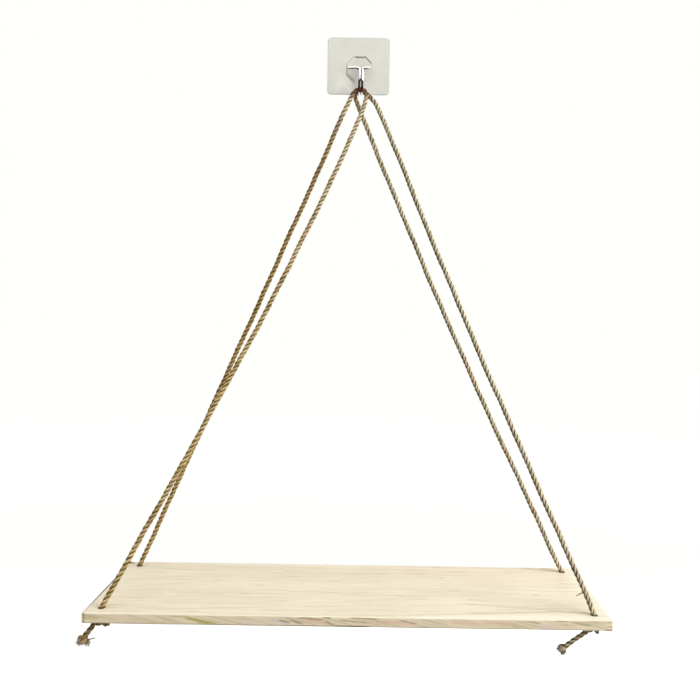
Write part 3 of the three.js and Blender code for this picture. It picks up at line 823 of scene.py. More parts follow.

# strokes that the photograph shows: the dark and coloured ones follow the grain, the pale ones of the top are
# painted highlights, and the long last stroke of the front's dark and deep lists is painted shade along its lower
# edge. X from and to, Y (or Z) from and to, half width, strength
topStrokes = {
    "dark": [
        (-163, -86, -120.3, -113.0, 1.1, 0.55), (-95, -62, -113.0, -110.6, 1.0, 0.75),
        (-39, -4, -107.8, -106.6, 1.0, 0.45), (0, 46, -103.2, -101.0, 1.0, 0.5),
        (-4, 44, -127.4, -124.5, 0.9, 0.6), (38, 96, -125.3, -119.5, 1.0, 0.85),
        (88, 172, -119.9, -112.3, 1.2, 1.5), (158, 200, -110.5, -114.9, 1.2, 1.5),
        (37, 69, -81.8, -86.5, 1.2, 0.5), (120, 156, -102.5, -103.6, 2.2, 0.5),
        (146, 176, -106.9, -106.6, 2.6, 0.5), (88, 150, -95.0, -107.0, 1.2, 0.65),
        (144, 176, -106.6, -110.8, 1.0, 0.55), (121, 151, -98.8, -110.8, 1.0, 0.4),
        (169, 188, -89.0, -102.0, 1.0, 0.35), (156, 206, -2.2, -9.8, 1.3, 1.6),
        (178, 194, -1.2, -1.4, 1.5, 1.5), (-183, -136, -65.8, -55.6, 1.2, 0.6),
        (-197, -178, -69.0, -67.2, 1.1, 0.4), (-189, -166, -93.9, -93.4, 1.1, 0.6),
        (-129, -104, -84.6, -81.8, 1.0, 0.5), (-59, -43, -36.3, -35.8, 1.4, 0.6),
        (-11, 41, -27.3, -24.9, 1.4, 0.85), (-94, -82, -82.0, -79.8, 1.2, 0.6),
        (-22, -8, -75.3, -75.7, 1.1, 0.75), (47, 73, -23.0, -21.8, 1.5, 0.6), (84, 94, -68.2, -66.9, 1.2, 0.5),
        (-133, -111, -53.9, -49.4, 1.1, 0.4), (157.5, 163.5, -75.0, -74.0, 2.0, 0.7),
        (82, 86, -34.6, -34.0, 1.6, 0.8),
    ],
    "highlight": [
        (-190, -139, -53.7, -49.9, 1.5, 0.8), (-159, -144, -84.0, -83.7, 1.2, 1.0),
        (-131, -120, -49.5, -49.2, 1.4, 0.9), (-89, -80, -75.0, -64.6, 1.3, 0.9),
        (-21, -7, -79.3, -78.6, 1.2, 1.0), (-39, -11, -41.2, -40.8, 1.4, 0.7),
        (-70, -60, -22.3, -21.8, 1.6, 0.8), (96, 124, -59.2, -63.1, 1.3, 0.9),
        (98, 119, -54.4, -55.0, 1.2, 0.6), (-198, -187, -29.8, -27.6, 1.6, 0.8),
        (-74, -58, -127.5, -122.2, 1.2, 0.7), (-25, -14, -117.3, -119.6, 1.2, 0.8),
        (-218, -120, -129.9, -128.4, 1.6, 0.7), (-126, 52, -129.7, -129.2, 1.2, 0.8),
        (26, 214, -129.2, -122.6, 6.2, 0.75), (87, 92, -33.6, -32.8, 1.4, 0.9),
        (-190, 40, -4.0, -4.0, 4.0, 0.5),
    ],
}
sideStrokes = {
    "dark": [
        (-168, -140, -477.9, -482.4, 0.40, 0.6), (-156, -141, -480.9, -482.6, 0.35, 0.6),
        (-49, -33, -476.6, -480.9, 0.8, 0.9), (-54, -44, -478.1, -480.2, 0.7, 0.9),
        (-46, -34, -478.0, -480.6, 0.7, 0.9), (-41, -16, -476.1, -477.6, 0.9, 0.9),
        (-9, 21, -477.3, -479.6, 0.5, 0.8), (0, 26, -475.6, -476.5, 0.6, 0.9),
        (18, 34, -477.1, -481.3, 0.6, 0.7), (41, 56, -476.7, -479.8, 0.6, 0.7),
        (-18, -10, -478.3, -481.8, 0.7, 0.7), (115, 138, -476.9, -481.9, 0.6, 0.8),
        (138, 154, -475.8, -478.3, 0.6, 0.9), (162, 176, -475.3, -476.3, 0.7, 0.9),
        (174, 193, -475.9, -479.4, 0.8, 0.9), (130, 155, -476.2, -481.5, 0.45, 0.4),
        (-92, -72, -477.0, -478.5, 0.5, 0.5), (50, 72, -476.3, -480.9, 0.45, 0.5),
        # the second stroke below is painted shade along the lower rounded edge
        (-120, -96, -477.5, -481.0, 0.4, 0.4), (-260, 260, -482.75, -482.75, 0.9, 0.9),
    ],
    "olive": [
        (-142, -124, -476.2, -477.0, 0.45, 0.8), (-130, -104, -476.9, -482.2, 1.5, 0.95),
        (-124, -104, -478.2, -481.2, 1.0, 0.7), (-120, -100, -480.5, -482.5, 1.6, 0.7),
        (170, 182, -478.0, -478.8, 1.2, 0.2), (190, 214, -475.5, -475.5, 0.7, 0.45),
        (-214, -195, -477.2, -479.4, 2.4, 0.38),
    ],
    "deep": [
        (-112, -50, -482.6, -482.6, 0.45, 0.5), (-20, -12, -475.4, -476.0, 0.65, 1.1),
        (-14, 22, -482.1, -482.5, 0.65, 1.1), (-44, -37, -478.8, -480.5, 0.6, 0.7),
        (-41, -34, -480.2, -481.0, 0.4, 0.5), (-54, -8, -482.3, -482.4, 0.5, 0.7),
        (56, 70, -482.4, -482.6, 0.4, 0.6), (112, 130, -482.6, -482.7, 0.4, 0.5),
        (-55, -45, -477.9, -480.4, 0.7, 0.75), (-46, -36, -478.0, -480.6, 0.7, 0.65),
        (-40, -18, -476.1, -477.7, 0.6, 0.55), (1, 25, -475.5, -476.4, 0.7, 0.40),
        (-9, 20, -477.4, -479.6, 0.5, 0.55), (-18, -10, -478.4, -481.7, 0.7, 0.60),
        (40, 56, -476.8, -479.8, 0.6, 0.55), (144, 153, -476.0, -478.1, 0.6, 0.45),
        (163, 175, -475.3, -476.2, 0.6, 0.50), (179, 192, -477.0, -479.3, 0.6, 0.40),
        (129, 137, -479.1, -482.2, 0.5, 0.40), (206.0, 211.0, -479.5, -479.5, 0.7, 0.6),
        (203.0, 211.0, -482.5, -482.5, 0.8, 1.0), (204.0, 211.0, -475.6, -475.6, 0.5, 0.6),
        # painted shade along the lower rounded edge
        (-260, 260, -482.8, -482.8, 0.8, 0.28),
    ],
    "rosy": [
        (-34, -12, -478.2, -479.0, 2.0, 0.85), (26, 50, -478.3, -479.2, 2.0, 0.8),
        (38, 56, -478.8, -479.6, 1.6, 0.6), (80, 108, -477.4, -479.6, 1.8, 0.7),
        (-146, -132, -480.2, -481.0, 1.0, 0.4), (-100, -84, -477.0, -478.0, 1.6, 0.3),
        (106, 138, -477.6, -478.6, 1.6, 0.8), (156, 170, -480.6, -481.1, 1.4, 0.35),
    ],
    "lilac": [
        (-64, -44, -476.8, -481.3, 2.2, 0.8), (50, 66, -480.5, -481.2, 1.0, 0.5),
        (-90, -66, -479.0, -480.4, 2.0, 0.4), (148, 162, -480.2, -481.2, 1.8, 0.8),
        (154, 168, -478.0, -480.6, 1.0, 0.5), (-54, -30, -481.9, -482.6, 0.9, 0.8),
    ],
}


def waves(x, y, seed, rough):
    # The mean of seven sines of random direction, pitch and phase, for slow unevenness between -1 and 1.
    draw = np.random.default_rng(seed)
    total = np.zeros(np.broadcast(x, y).shape)
    for _ in range(7):
        heading, phase = draw.uniform(0, turn, 2)
        pitch = rough * draw.uniform(0.6, 2.2)
        total += np.sin(pitch * (x * math.cos(heading) + y * math.sin(heading)) + phase)
    return total / 7


def boardGrid():
    # A grid of straight lines. In each corner its points are drawn in, on rays from the corner circle's
    # own centre, so that its rim follows the circle. outward is square to the rim there.
    half = np.array([board["width"], board["depth"]]) / 2
    radius, ease = board["cornerRadius"], board["ease"]
    lines = []
    for reach, step in zip(half, board["gridStep"]):
        inside = reach - 1.5 * mm
        middle = np.linspace(-inside, inside, 2 * round(inside / step) + 1)
        lines.append(np.concatenate([[-reach + ease], middle, [reach - ease]]))
    flat = np.stack(np.meshgrid(*lines, indexing="ij"), axis=-1).reshape(-1, 2)
    over = np.abs(flat) - (half - radius)
    inCorner = (over > 0).all(axis=1, keepdims=True)
    shrink = over.max(axis=1, keepdims=True) / np.maximum(np.hypot(*over.T), 1e-9)[:, None]
    flat = np.where(inCorner, np.sign(flat) * (half - radius + over * shrink), flat)
    index = np.arange(len(flat)).reshape(len(lines[0]), len(lines[1]))
    rim = np.concatenate([index[:-1, 0], index[-1, :-1], index[:0:-1, -1], index[0, :0:-1]])
    outward = np.sign(flat[rim]) * np.maximum(np.abs(flat[rim]) - (half - radius), 0)
    return lines, flat, index, rim, unit(outward)


def boardMesh():
    # Top and bottom are grids whose rim lies in from the side by the ease. Between them runs the edge: a
    # quarter circle, the upright side and a quarter circle. The ease itself varies by a slow wave, with
    # one dent. A square of grid round each hole gives way to rings that blend from the square to
    # the hole's torn mouth and go down its wall.
    lines, flat, index, rim, outward = boardGrid()
    middleY, thick = -board["depth"] / 2, board["top"] - board["bottom"]
    run = np.concatenate([[0], np.cumsum(np.linalg.norm(np.diff(flat[rim], axis=0), axis=1))])
    wear = board["easeWear"] * slowWave(run, board["wearLengths"], (1, 0))
    dent, at, halfLength = board["wornSpot"]
    wear += dent * np.exp(-((run - at) / halfLength) ** 2)
    rimEase = board["ease"] * (1 + wear)
    flat[rim] -= outward * (rimEase - board["ease"])[:, None]

    keepQuad = np.ones(np.array(index.shape) - 1, bool)
    patches = []
    for holeX, holeY in board["holes"]:
        centre = np.array([holeX * mm, holeY * mm - middleY])
        (i0, i1), (j0, j1) = (
            [int(np.argmin(np.abs(line - v))) for v in (at - board["patchHalf"], at + board["patchHalf"])]
            for line, at in zip(lines, centre)
        )
        keepQuad[i0:i1, j0:j1] = False
        loop = np.concatenate([index[i0:i1, j0], index[i1, j0:j1], index[i1:i0:-1, j1], index[i0, j1:j0:-1]])
        patches.append((centre, loop))

    topZ, lowZ = (board["unlevel"] * waves(flat[:, 0], flat[:, 1] * 6, seed, 40) for seed in (5, 6))
    lowZ = -thick + lowZ
    topZ[rim], lowZ[rim] = 0, -thick
    lower = len(flat)
    points = [np.column_stack([flat, topZ]), np.column_stack([flat, lowZ])]
    masks = [np.zeros((2 * lower, 3))]        # hole (painted shade), side, arris (where the painted highlight goes)
    masks[0][rim, 2] = 1
    used = index[:-1, :-1][keepQuad], index[1:, :-1][keepQuad], index[1:, 1:][keepQuad], index[:-1, 1:][keepQuad]
    faces = np.stack(used, axis=-1).tolist()
    faces += (np.stack(used[::-1], axis=-1) + lower).tolist()

    def bandFaces(first, second):
        return np.stack([first, np.roll(first, -1), np.roll(second, -1), second], axis=-1).tolist()

    def addRing(ring, z, mask):
        # Puts the ring and its masks at the end of the lists, and gives its points' numbers.
        count = sum(map(len, masks))
        points.append(np.column_stack([ring, np.broadcast_to(z, len(ring))]))
        masks.append(np.tile(mask, (len(ring), 1)))
        return np.arange(count, count + len(ring))

    quarter = np.linspace(0, turn / 4, 5)[1:]
    rows = board["sideRows"]
    before = rim
    for k, share in enumerate(np.concatenate([np.sin(quarter), np.ones(rows), np.cos(quarter)[:-1]])):
        if k < 4:
            z = -rimEase * (1 - np.cos(quarter[k]))
        elif k < 4 + rows:
            z = -rimEase - (thick - 2 * rimEase) * (k - 3) / rows
        else:
            z = -thick + rimEase * (1 - np.sin(quarter[k - 4 - rows]))
        ring = flat[rim] + outward * (rimEase * share)[:, None]
        now = addRing(ring, z, [0, min(k / 3, 1), max(1 - k / 3, 0)])
        faces += bandFaces(now, before)
        before = now
    faces += bandFaces(rim + lower, before)

    chamfer, rings = board["chamfer"], board["patchRings"]
    for number, (centre, loop) in enumerate(patches):
        way = unit(flat[loop] - centre)
        bearing = np.arctan2(way[:, 1], way[:, 0])
        torn = 1 + 0.03 * np.sin(5 * bearing + number) + 0.02 * np.sin(11 * bearing + 2 * number)
        mouth = centre + way * (board["holeRadius"] + chamfer * torn)[:, None]
        wall = centre + way * board["holeRadius"]
        # each ring's last value is the hole mask, painted shade: 0.3 at the mouth, 0.8 to 1 down the wall
        blends = []
        for part in range(1, rings + 1):
            share = 1 - (1 - part / rings) ** 1.5
            blends.append((flat[loop] * (1 - share) + mouth * share, 1 - share, 0.3 * (part == rings)))
        path = [(ring, topZ[loop] * rest, dark) for ring, rest, dark in blends]
        path += [(wall, z, dark) for z, dark in ((-chamfer, 0.8), (-thick * 0.5, 1), (-thick + chamfer, 0.9))]
        path += [(ring, -thick + (lowZ[loop] + thick) * rest, dark) for ring, rest, dark in blends[::-1]]
        before = loop
        for ring, z, dark in path:
            now = addRing(ring, z, [dark, 0, 0])
            faces += bandFaces(before, now)
            before = now
        faces += bandFaces(before, loop + lower)
    return np.vstack(points) + np.array([0, middleY, board["top"]]), faces, np.vstack(masks)


def woodMaterial():
    # Growth rings are planes that lean through the board, bent by slow noise that is long along X. Face,
    # long sides and ends each have colours of their own, and the masks of the mesh say which is which.
    material, tree, shader = newTree("pale_wood")
    place, axes = objectPlace(tree)
    x, y, z = axes["x"], axes["y"], axes["z"]
    axes["reach"] = compute(tree, "ABSOLUTE", x)
    axes["offLine"] = compute(tree, "ABSOLUTE", compute(tree, "ADD", x, woodFinish["endLine"]))
    within = {name: region(tree, axes, bands) for name, bands in woodBands.items()}
    along = addNode(tree, "CombineXYZ", inputs={"X": y, "Y": x, "Z": z}).outputs[0]
    shifted = addNode(tree, "VectorMath", {"operation": "ADD"}, {0: along, 1: woodFinish["glintShift"]}).outputs[0]
    slope = compute(tree, "MULTIPLY_ADD", x, woodFinish["sideSlope"], z)
    downhill = addNode(tree, "CombineXYZ", inputs={"X": slope, "Y": x, "Z": y}).outputs[0]
    clouds, fibres, flecks, glints, sideFigure = (
        useGroup(tree, streaks, {"Vector": vector, **woodFinish[name]}) for name, vector in (
            ("clouds", along), ("fibres", along), ("flecks", along), ("glints", shifted), ("sideFigure", downhill),
        )
    )
    slow = addNode(tree, "Mapping", inputs={"Vector": place, "Scale": (3.2, 16, 30)}).outputs[0]
    depth = compute(tree, "MULTIPLY_ADD", z, woodFinish["ringLean"], y)
    depth = compute(tree, "MULTIPLY_ADD", noise(tree, slow, 1.0, 2.5)["Fac"], woodFinish["ringBend"], depth)
    saw = compute(tree, "FRACT", compute(tree, "MULTIPLY", depth, woodFinish["ringsPerMetre"]))
    late = compute(tree, "MULTIPLY", spread(tree, saw, 0.55, 0.95), spread(tree, saw, 1.0, 0.97))

    # the face: soft clouds, rosy patches, painted light on the right end, faint rings, short dashes, painted glints,
    # then the strokes, whose pale ones are painted highlights
    dark = maskOf(tree, "dark")
    rings = compute(tree, "MULTIPLY", late, spread(tree, flecks, 0.35, 0.7, 0.05, 0.32))
    colour = blendColours(tree, spread(tree, clouds, 0.35, 0.65), woodFinish["pale"], woodFinish["mid"])
    colour = paint(tree, colour, woodFinish, (
        (within["rosyRight"], "rosy"), (within["rosyCorner"], "rosy"), (within["sunlit"], "highlight"), (rings, "line"),
        (spread(tree, fibres, 0.55, 0.78, 0, 0.20), "line"), (spread(tree, flecks, 0.60, 0.74, 0, 0.30), "line"),
        (spread(tree, glints, 0.62, 0.74, 0, 0.65), "highlight"), (maskOf(tree, "highlight"), "highlight"),
        (compute(tree, "MULTIPLY", dark, 0.62), "line"),
    ))

    # the long sides: the grain runs down to the right, with rosy, lilac and olive patches in front
    figured = spread(tree, sideFigure, 0.42, 0.72, 0.05, 0.75)
    side = blendColours(tree, figured, woodFinish["side"], woodFinish["sideShade"])
    side = paint(tree, side, woodFinish, (
        (spread(tree, clouds, 0.5, 0.7, 0, 0.45), "sideRosy"), (maskOf(tree, "rosy"), "sideRosy"),
        (maskOf(tree, "lilac"), "sideLilac"), (dark, "sideShade"), (maskOf(tree, "olive"), "olive"),
        (maskOf(tree, "deep"), "deepOlive"), (within["endLine"], "deepOlive"),
    ))

    # the two ends: end grain with upright ticks and a dark line along the top edge of the left one
    ticks = spread(tree, noise(tree, place, 900.0, 2.0)["Fac"], 0.4, 0.62)
    end = blendColours(tree, ticks, woodFinish["endGrain"], woodFinish["side"])
    side = blendColours(tree, within["end"], side, end)
    # a painted highlight along the rounded edges of the top
    arrisHighlight = compute(tree, "MULTIPLY", maskOf(tree, "arris"), 0.7)
    colour = blendColours(tree, maskOf(tree, "side"), paint(tree, colour, woodFinish, ((arrisHighlight, "highlight"),)), side)
    # painted shade in the holes
    colour = paint(tree, colour, woodFinish, ((within["endEdge"], "endEdge"), (maskOf(tree, "hole"), "holeShade")))
    tree.links.new(colour, shader.inputs["Base Color"])

    height = compute(tree, "MULTIPLY_ADD", late, -0.3, compute(tree, "MULTIPLY", fibres, 0.6))
    height = compute(tree, "MULTIPLY_ADD", dark, -0.8, height)
    bump = addNode(tree, "Bump", inputs={"Strength": 0.5, "Distance": woodFinish["bump"], "Height": height})
    tree.links.new(bump.outputs["Normal"], shader.inputs["Normal"])
    tree.links.new(spread(tree, fibres, 0.3, 0.7, 0.62, 0.5), shader.inputs["Roughness"])
    shader.inputs["Specular IOR Level"].default_value = 0.35
    return material


def addStrokes(piece, points, sideShare):
    # The strokes of the face go on the points whose side mask is 0, those of the front on the side's.
    # Elsewhere every mask is 0.
    x, y, z = points.T
    face = (sideShare < 0.5) & (z > board["top"] - 1 * mm)
    front = (sideShare >= 0.5) & (y < -board["depth"] + 2 * mm)
    for label in ("dark", "highlight", "rosy", "lilac", "olive", "deep"):
        values = np.zeros(len(points))
        if label in topStrokes:
            values[face] = strokeMask(x[face], y[face], topStrokes[label])
        if label in sideStrokes:
            values[front] = strokeMask(x[front], z[front], sideStrokes[label])
        addMask(piece, label, values)


paleWood = woodMaterial()
points, faces, masks = boardMesh()
boardPiece = newPiece("board_plank", points, faces, "shelf", "board", paleWood)
for column, label in enumerate(("hole", "side", "arris")):
    addMask(boardPiece, label, masks[:, column])
addStrokes(boardPiece, points, masks[:, 1])
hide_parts("shelf_board")
print("board made:", len(faces), "faces")


# Sticky pad and clear plate: a rounded rectangle with a profile carried round it

wallPlate = {
    # millimetres; faces are the Y of the back and of the front, and a thin gap keeps the two apart
    "pad": {"size": (59.0, 54.0), "radius": 3.5, "faces": (0.0, -0.8)},
    "plate": {"size": (60.0, 55.0), "radius": 4.0, "faces": (-0.83, -1.8)},
    "ease": 0.28,
}


def roundedOutline(width, height, radius, perCorner=14):
    # Four quarter circles about the corners' own centres, with the outward direction of each point.
    points, ways = [], []
    for k, (sx, sz) in enumerate(((1, 1), (-1, 1), (-1, -1), (1, -1))):
        angle = turn * (k / 4 + np.linspace(0, 0.25, perCorner))
        way = np.column_stack([np.cos(angle), np.sin(angle)])
        centre = np.array([sx * (width / 2 - radius), sz * (height / 2 - radius)])
        points.append(centre + radius * way)
        ways.append(way)
    return np.vstack(points), np.vstack(ways)


def slabMesh(size, radius, faces):
    # Rings from the back to the front: (inset, Y) pairs of two quarter circles. Flat faces close both.
    outline, way = roundedOutline(*size, radius)
    ease, (back, front) = wallPlate["ease"], faces
    quarter = np.linspace(0, turn / 4, 5)
    rise, fall = ease * (1 - np.sin(quarter)), ease * (1 - np.cos(quarter))
    rings = []
    for inset, y in zip(np.concatenate([rise, fall]), np.concatenate([back - fall, front + rise])):
        flat = outline - way * inset
        rings.append(np.column_stack([flat[:, 0], np.full(len(flat), y), flat[:, 1]]))
    n = len(outline)
    closing = [list(range(n))[::-1], list(range((len(rings) - 1) * n, len(rings) * n))]
    return np.vstack(rings) * mm, ringQuads(len(rings), n).tolist() + closing


padFinish = {
    "milk": (0.765, 0.751, 0.695, 1),
    "thin": (0.720, 0.706, 0.654, 1),
    "rim": (0.62, 0.61, 0.59, 1),
    "smear": (0.68, 0.67, 0.63, 1),
    "bare": (0.885, 0.871, 0.818, 1),       # painted light that lifts the shadow the hook casts below the housing
    "cloudScale": 34.0,
    "smearMiddle": (-0.0140, 0, -0.0240),
    "bareMiddle": -0.009,
}

# where the colours lie: axis, start, end, value at the start, value at the end
padBands = {
    "smear": [("fromSmear", 0.002, 0.0065, 0.6, 0.0), ("clouds", 0.30, 0.5, 0.0, 1.0)],
    "bare": [("beside", 0.021, 0.002, 0.0, 1.0), ("z", 0.002, -0.011, 0.0, 1.0)],
    "rimX": [("absX", 0.0283, 0.0293, 0.0, 1.0)],
    "rimZ": [("absZ", 0.0258, 0.0268, 0.0, 1.0)],
}


def padMaterial():
    # Soft clouds, painted light that lifts the hook's shadow below the housing, one smear to the lower left and a
    # greyer rim.
    material, tree, shader = newTree("milky_pad")
    place, axes = objectPlace(tree)
    smearMiddle = {0: place, 1: padFinish["smearMiddle"]}
    axes["clouds"] = noise(tree, place, padFinish["cloudScale"], 3.0)["Fac"]
    axes["fromSmear"] = addNode(tree, "VectorMath", {"operation": "DISTANCE"}, smearMiddle).outputs["Value"]
    axes["beside"] = compute(tree, "ABSOLUTE", compute(tree, "SUBTRACT", axes["x"], padFinish["bareMiddle"]))
    axes["absX"], axes["absZ"] = (compute(tree, "ABSOLUTE", axes[axis]) for axis in "xz")
    within = {name: region(tree, axes, bands) for name, bands in padBands.items()}
    colour = blendColours(tree, spread(tree, axes["clouds"], 0.35, 0.65), padFinish["milk"], padFinish["thin"])
    rim = compute(tree, "MAXIMUM", within["rimX"], within["rimZ"])
    colour = paint(tree, colour, padFinish, ((within["bare"], "bare"), (within["smear"], "smear"), (rim, "rim")))
    tree.links.new(colour, shader.inputs["Base Color"])
    shader.inputs["Roughness"].default_value = 0.5
    return material


def clearMaterial(name, tintColour, low, high, outline=None):
    # Clear plastic. What comes from outside meets the glass. A ray that light, a matt surface or another
    # clear face sends meets a tinted open surface, so that what lies behind stays lit.
    material, tree, shader = newTree(name)
    smudged = {"Vector": objectPlace(tree)[0], "Scale": 90.0, "Low": low, "High": high}
    tree.links.new(useGroup(tree, smudges, smudged), shader.inputs["Roughness"])
    shader.inputs["Base Color"].default_value = tintColour
    if outline:
        tree.links.new(outline(tree, tintColour), shader.inputs["Base Color"])
    shader.inputs["Transmission Weight"].default_value = 1.0
    shader.inputs["IOR"].default_value = 1.46
    through = anyRay(tree, ("Shadow", "Diffuse", "Transmission"))
    opening = addNode(tree, "BsdfTransparent", inputs={"Color": tintColour})
    mix = addNode(tree, "MixShader", inputs={0: through, 1: shader.outputs[0], 2: opening.outputs[0]})
    tree.links.new(mix.outputs[0], tree.nodes["Material Output"].inputs["Surface"])
    return material


moulding = {
    "middle": (0.001, 0, -0.004),
    "line": (1.5 * mm, 0.1 * mm),       # off its middle: where it fades out, and where it is full
    "dark": (0.02, 0.02, 0.018, 1),
    # for each side that shows a line: the way it faces, how far out the line runs, how strong it is
    "sides": [
        (0.0, 1.0, 9.8 * mm, 1.0), (0.7071, 0.7071, 11.1 * mm, 1.0), (-0.7071, 0.7071, 11.6 * mm, 0.35),
        (-1.0, 0.0, 12.3 * mm, 0.8), (-0.7071, -0.7071, 12.3 * mm, 0.7),
    ],
}


def edgeLines(tree, plain):
    # Seen from the front, the edges of the moulding refract the dark of the room. The distance from the
    # middle is the eight-sided one: the largest of |x|, |z| and (|x| + |z|) / root 2. A point is on a side
    # where its distance that way is the eight-sided one, and on its line where it is also the line's.
    middleX, _, middleZ = moulding["middle"]
    axes = objectPlace(tree)[1]
    x, z = compute(tree, "SUBTRACT", axes["x"], middleX), compute(tree, "SUBTRACT", axes["z"], middleZ)
    absX, absZ = compute(tree, "ABSOLUTE", x), compute(tree, "ABSOLUTE", z)
    slanted = compute(tree, "MULTIPLY", compute(tree, "ADD", absX, absZ), math.sqrt(0.5))
    reach = compute(tree, "MAXIMUM", compute(tree, "MAXIMUM", absX, absZ), slanted)
    shown = 0.0
    for wayX, wayZ, middle, strength in moulding["sides"]:
        ahead = compute(tree, "MULTIPLY_ADD", x, wayX, compute(tree, "MULTIPLY", z, wayZ))
        off = compute(tree, "ABSOLUTE", compute(tree, "SUBTRACT", ahead, middle))
        line = spread(tree, off, *moulding["line"], 0.0, strength)
        onSide = spread(tree, compute(tree, "DIVIDE", ahead, reach), 0.96, 0.995)
        shown = compute(tree, "MAXIMUM", compute(tree, "MULTIPLY", line, onSide), shown)
    return blendColours(tree, shown, plain, moulding["dark"])


milkyPad = padMaterial()
clearPlate = clearMaterial("clear_sheet", (0.985, 0.985, 0.975, 1), 0.02, 0.08)
clearHousing = clearMaterial("clear_moulding", (0.99, 0.985, 0.98, 1), 0.01, 0.06, edgeLines)

for part, name, node, material in (
    ("pad", "sticky_pad", "adhesive_pad", milkyPad), ("plate", "clear_plate", "base_plate", clearPlate),
):
    points, faces = slabMesh(**wallPlate[part])
    rounded = np.arange(len(faces)) < len(faces) - 2        # all but the two big flat faces
    slab = newPiece(name, points, faces, "wall_mount", part, material, smooth=rounded)
    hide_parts(node)
print("pad and plate made")


# Housing: the CAD moulding with its loose triangles merged and its edges rounded

housing = {
    "edge": 0.22 * mm,
    "segments": 3,
    "angle": math.radians(25),      # edges sharper than this are rounded
    "merge": 0.001 * mm,
    "flat": math.radians(1.5),      # faces closer than this in their way become one
}


def addHousing():
    # The CAD's own mesh: its points merged, its flat faces joined and its sharp edges bevelled.
    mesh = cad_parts["hook_housing"].data.copy()
    mesh.name = "housing_shell"
    shape = bmesh.new()
    shape.from_mesh(mesh)
    bmesh.ops.remove_doubles(shape, verts=shape.verts, dist=housing["merge"])
    bmesh.ops.dissolve_limit(shape, angle_limit=housing["flat"], verts=shape.verts, edges=shape.edges)
    shape.to_mesh(mesh)
    shape.free()
    mesh.materials.clear()
    mesh.materials.append(clearHousing)
    piece = bpy.data.objects.new("housing_shell", mesh)
    bpy.context.scene.collection.objects.link(piece)
    bevel = piece.modifiers.new("edge", "BEVEL")
    bevel.width = housing["edge"]
    bevel.segments = housing["segments"]
    bevel.limit_method = "ANGLE"
    bevel.angle_limit = housing["angle"]
    bevel.use_clamp_overlap = True
    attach(piece, "wall_mount")
    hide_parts("hook_housing")


addHousing()
print("housing made")


# Wire hook, one wire bent double

hook = {
    # millimetres
    "pivot": np.array([2.5, -5.6, -3.3]),
    "wireRadius": 1.05,
    "legOffset": 1.3,
    "armReach": (12.0, 9.0),    # to the left and to the right of the legs' middle
    "armBendRadius": 1.8,
    "stemLength": 20.7,
    "throatRadius": 7.2,
    "tipRise": 3.9,
    "sides": 28,
}


def arc(centre, outward, forward, radius, sweepAngle, count):
    # centre + radius * (outward * cos + forward * sin), for angles from 0 to the sweep
    angle = np.linspace(0, sweepAngle, count)[:, None]
    return centre + radius * (np.array(outward) * np.cos(angle) + np.array(forward) * np.sin(angle))


def hookLine():
    # Arm, bend, leg, round bottom and rise to the tip, then round the tip and the same way back.
    off, bendRadius, throat = hook["legOffset"], hook["armBendRadius"], hook["throatRadius"]
    armX = [np.array([reach, reach - 0.6, off + bendRadius + 0.4]) for reach in hook["armReach"]]
    leftArm, rightArm = (np.column_stack([x, 0 * x, 0 * x]) for x in (-armX[0], armX[1][::-1]))
    bottomZ = -hook["stemLength"]
    bend = arc(np.array([-off - bendRadius, 0, -bendRadius]), (0, 0, 1), (1, 0, 0), bendRadius, turn / 4, 10)
    bottom = arc(np.array([-off, -throat, bottomZ]), (0, 1, 0), (0, 0, -1), throat, turn / 2, 36)
    leg = np.vstack([bend, bottom])
    tipMiddle = np.array([0, -2 * throat, bottomZ + hook["tipRise"]])
    tip = arc(tipMiddle, (-1, 0, 0), (0, 0, 1), off, turn / 2, 15)
    back = (leg * (-1, 1, 1))[::-1]
    return (np.vstack([leftArm, leg, tip, back, rightArm]) + hook["pivot"]) * mm


steelFinish = {
    "highlight": (0.88, 0.88, 0.86, 1),
    "shade": (0.055, 0.050, 0.045, 1),
    "black": (0.012, 0.010, 0.009, 1),      # what the limb in front mirrors
    "russet": (0.10, 0.020, 0.018, 1),      # and what it mirrors where it meets the ropes
    "chalk": (0.86, 0.85, 0.82, 1),         # and what its narrow inside mirrors
}


def steelMaterial():
    # Bright metal where none of the painted reflections "chalk", "black" and "russet" lies.
    material, tree, shader = newTree("bright_steel")
    place = objectPlace(tree)[0]
    rough = useGroup(tree, smudges, {"Vector": place, "Scale": 140.0, "Low": 0.08, "High": 0.2})
    rough = compute(tree, "MULTIPLY_ADD", maskOf(tree, "scuffed"), 0.4, rough)
    tree.links.new(rough, shader.inputs["Roughness"])
    shader.inputs["Specular IOR Level"].default_value = 0.0
    black, russet, chalk = (maskOf(tree, label) for label in ("black", "russet", "chalk"))
    colour = blendColours(tree, maskOf(tree, "sky"), steelFinish["shade"], steelFinish["highlight"])
    colour = paint(tree, colour, steelFinish, ((chalk, "chalk"), (black, "black"), (russet, "russet")))
    covered = compute(tree, "MAXIMUM", compute(tree, "MAXIMUM", black, russet), chalk)
    tree.links.new(compute(tree, "SUBTRACT", 1.0, covered), shader.inputs["Metallic"])
    tree.links.new(colour, shader.inputs["Base Color"])
    return material


# where a reflection starts and where it is full: millimetres from the pivot, or parts of the skin's direction
hookBands = {
    "bottom": (-25.6, -27.0),       # Z
    "limb": (-11.6, -13.0),         # Y
    "outer": (0.42, 0.55),          # off the limb's middle
    "inside": (-22.4, -21.4),       # Z
    "ropesBelow": (-26.0, -25.0),   # Z
    "ropesAbove": (-22.8, -23.8),   # Z
    "cleft": (0.85, 0.55),          # off its leaning middle
    "cleftTop": (-1.8, -3.0),       # Z
    "arm": (-1.6, -1.2),            # Z
    "armNear": (1.8, 2.4),          # |X|
    "armFar": (6.2, 4.0),           # off X 0.5
    "armEnd": (6.6, 7.8),           # X
    "sky": (0.05, 0.4),
    "square": (0.88, 0.97),
    "forward": (0.5, 0.15),
    "downward": (0.3, -0.05),
}


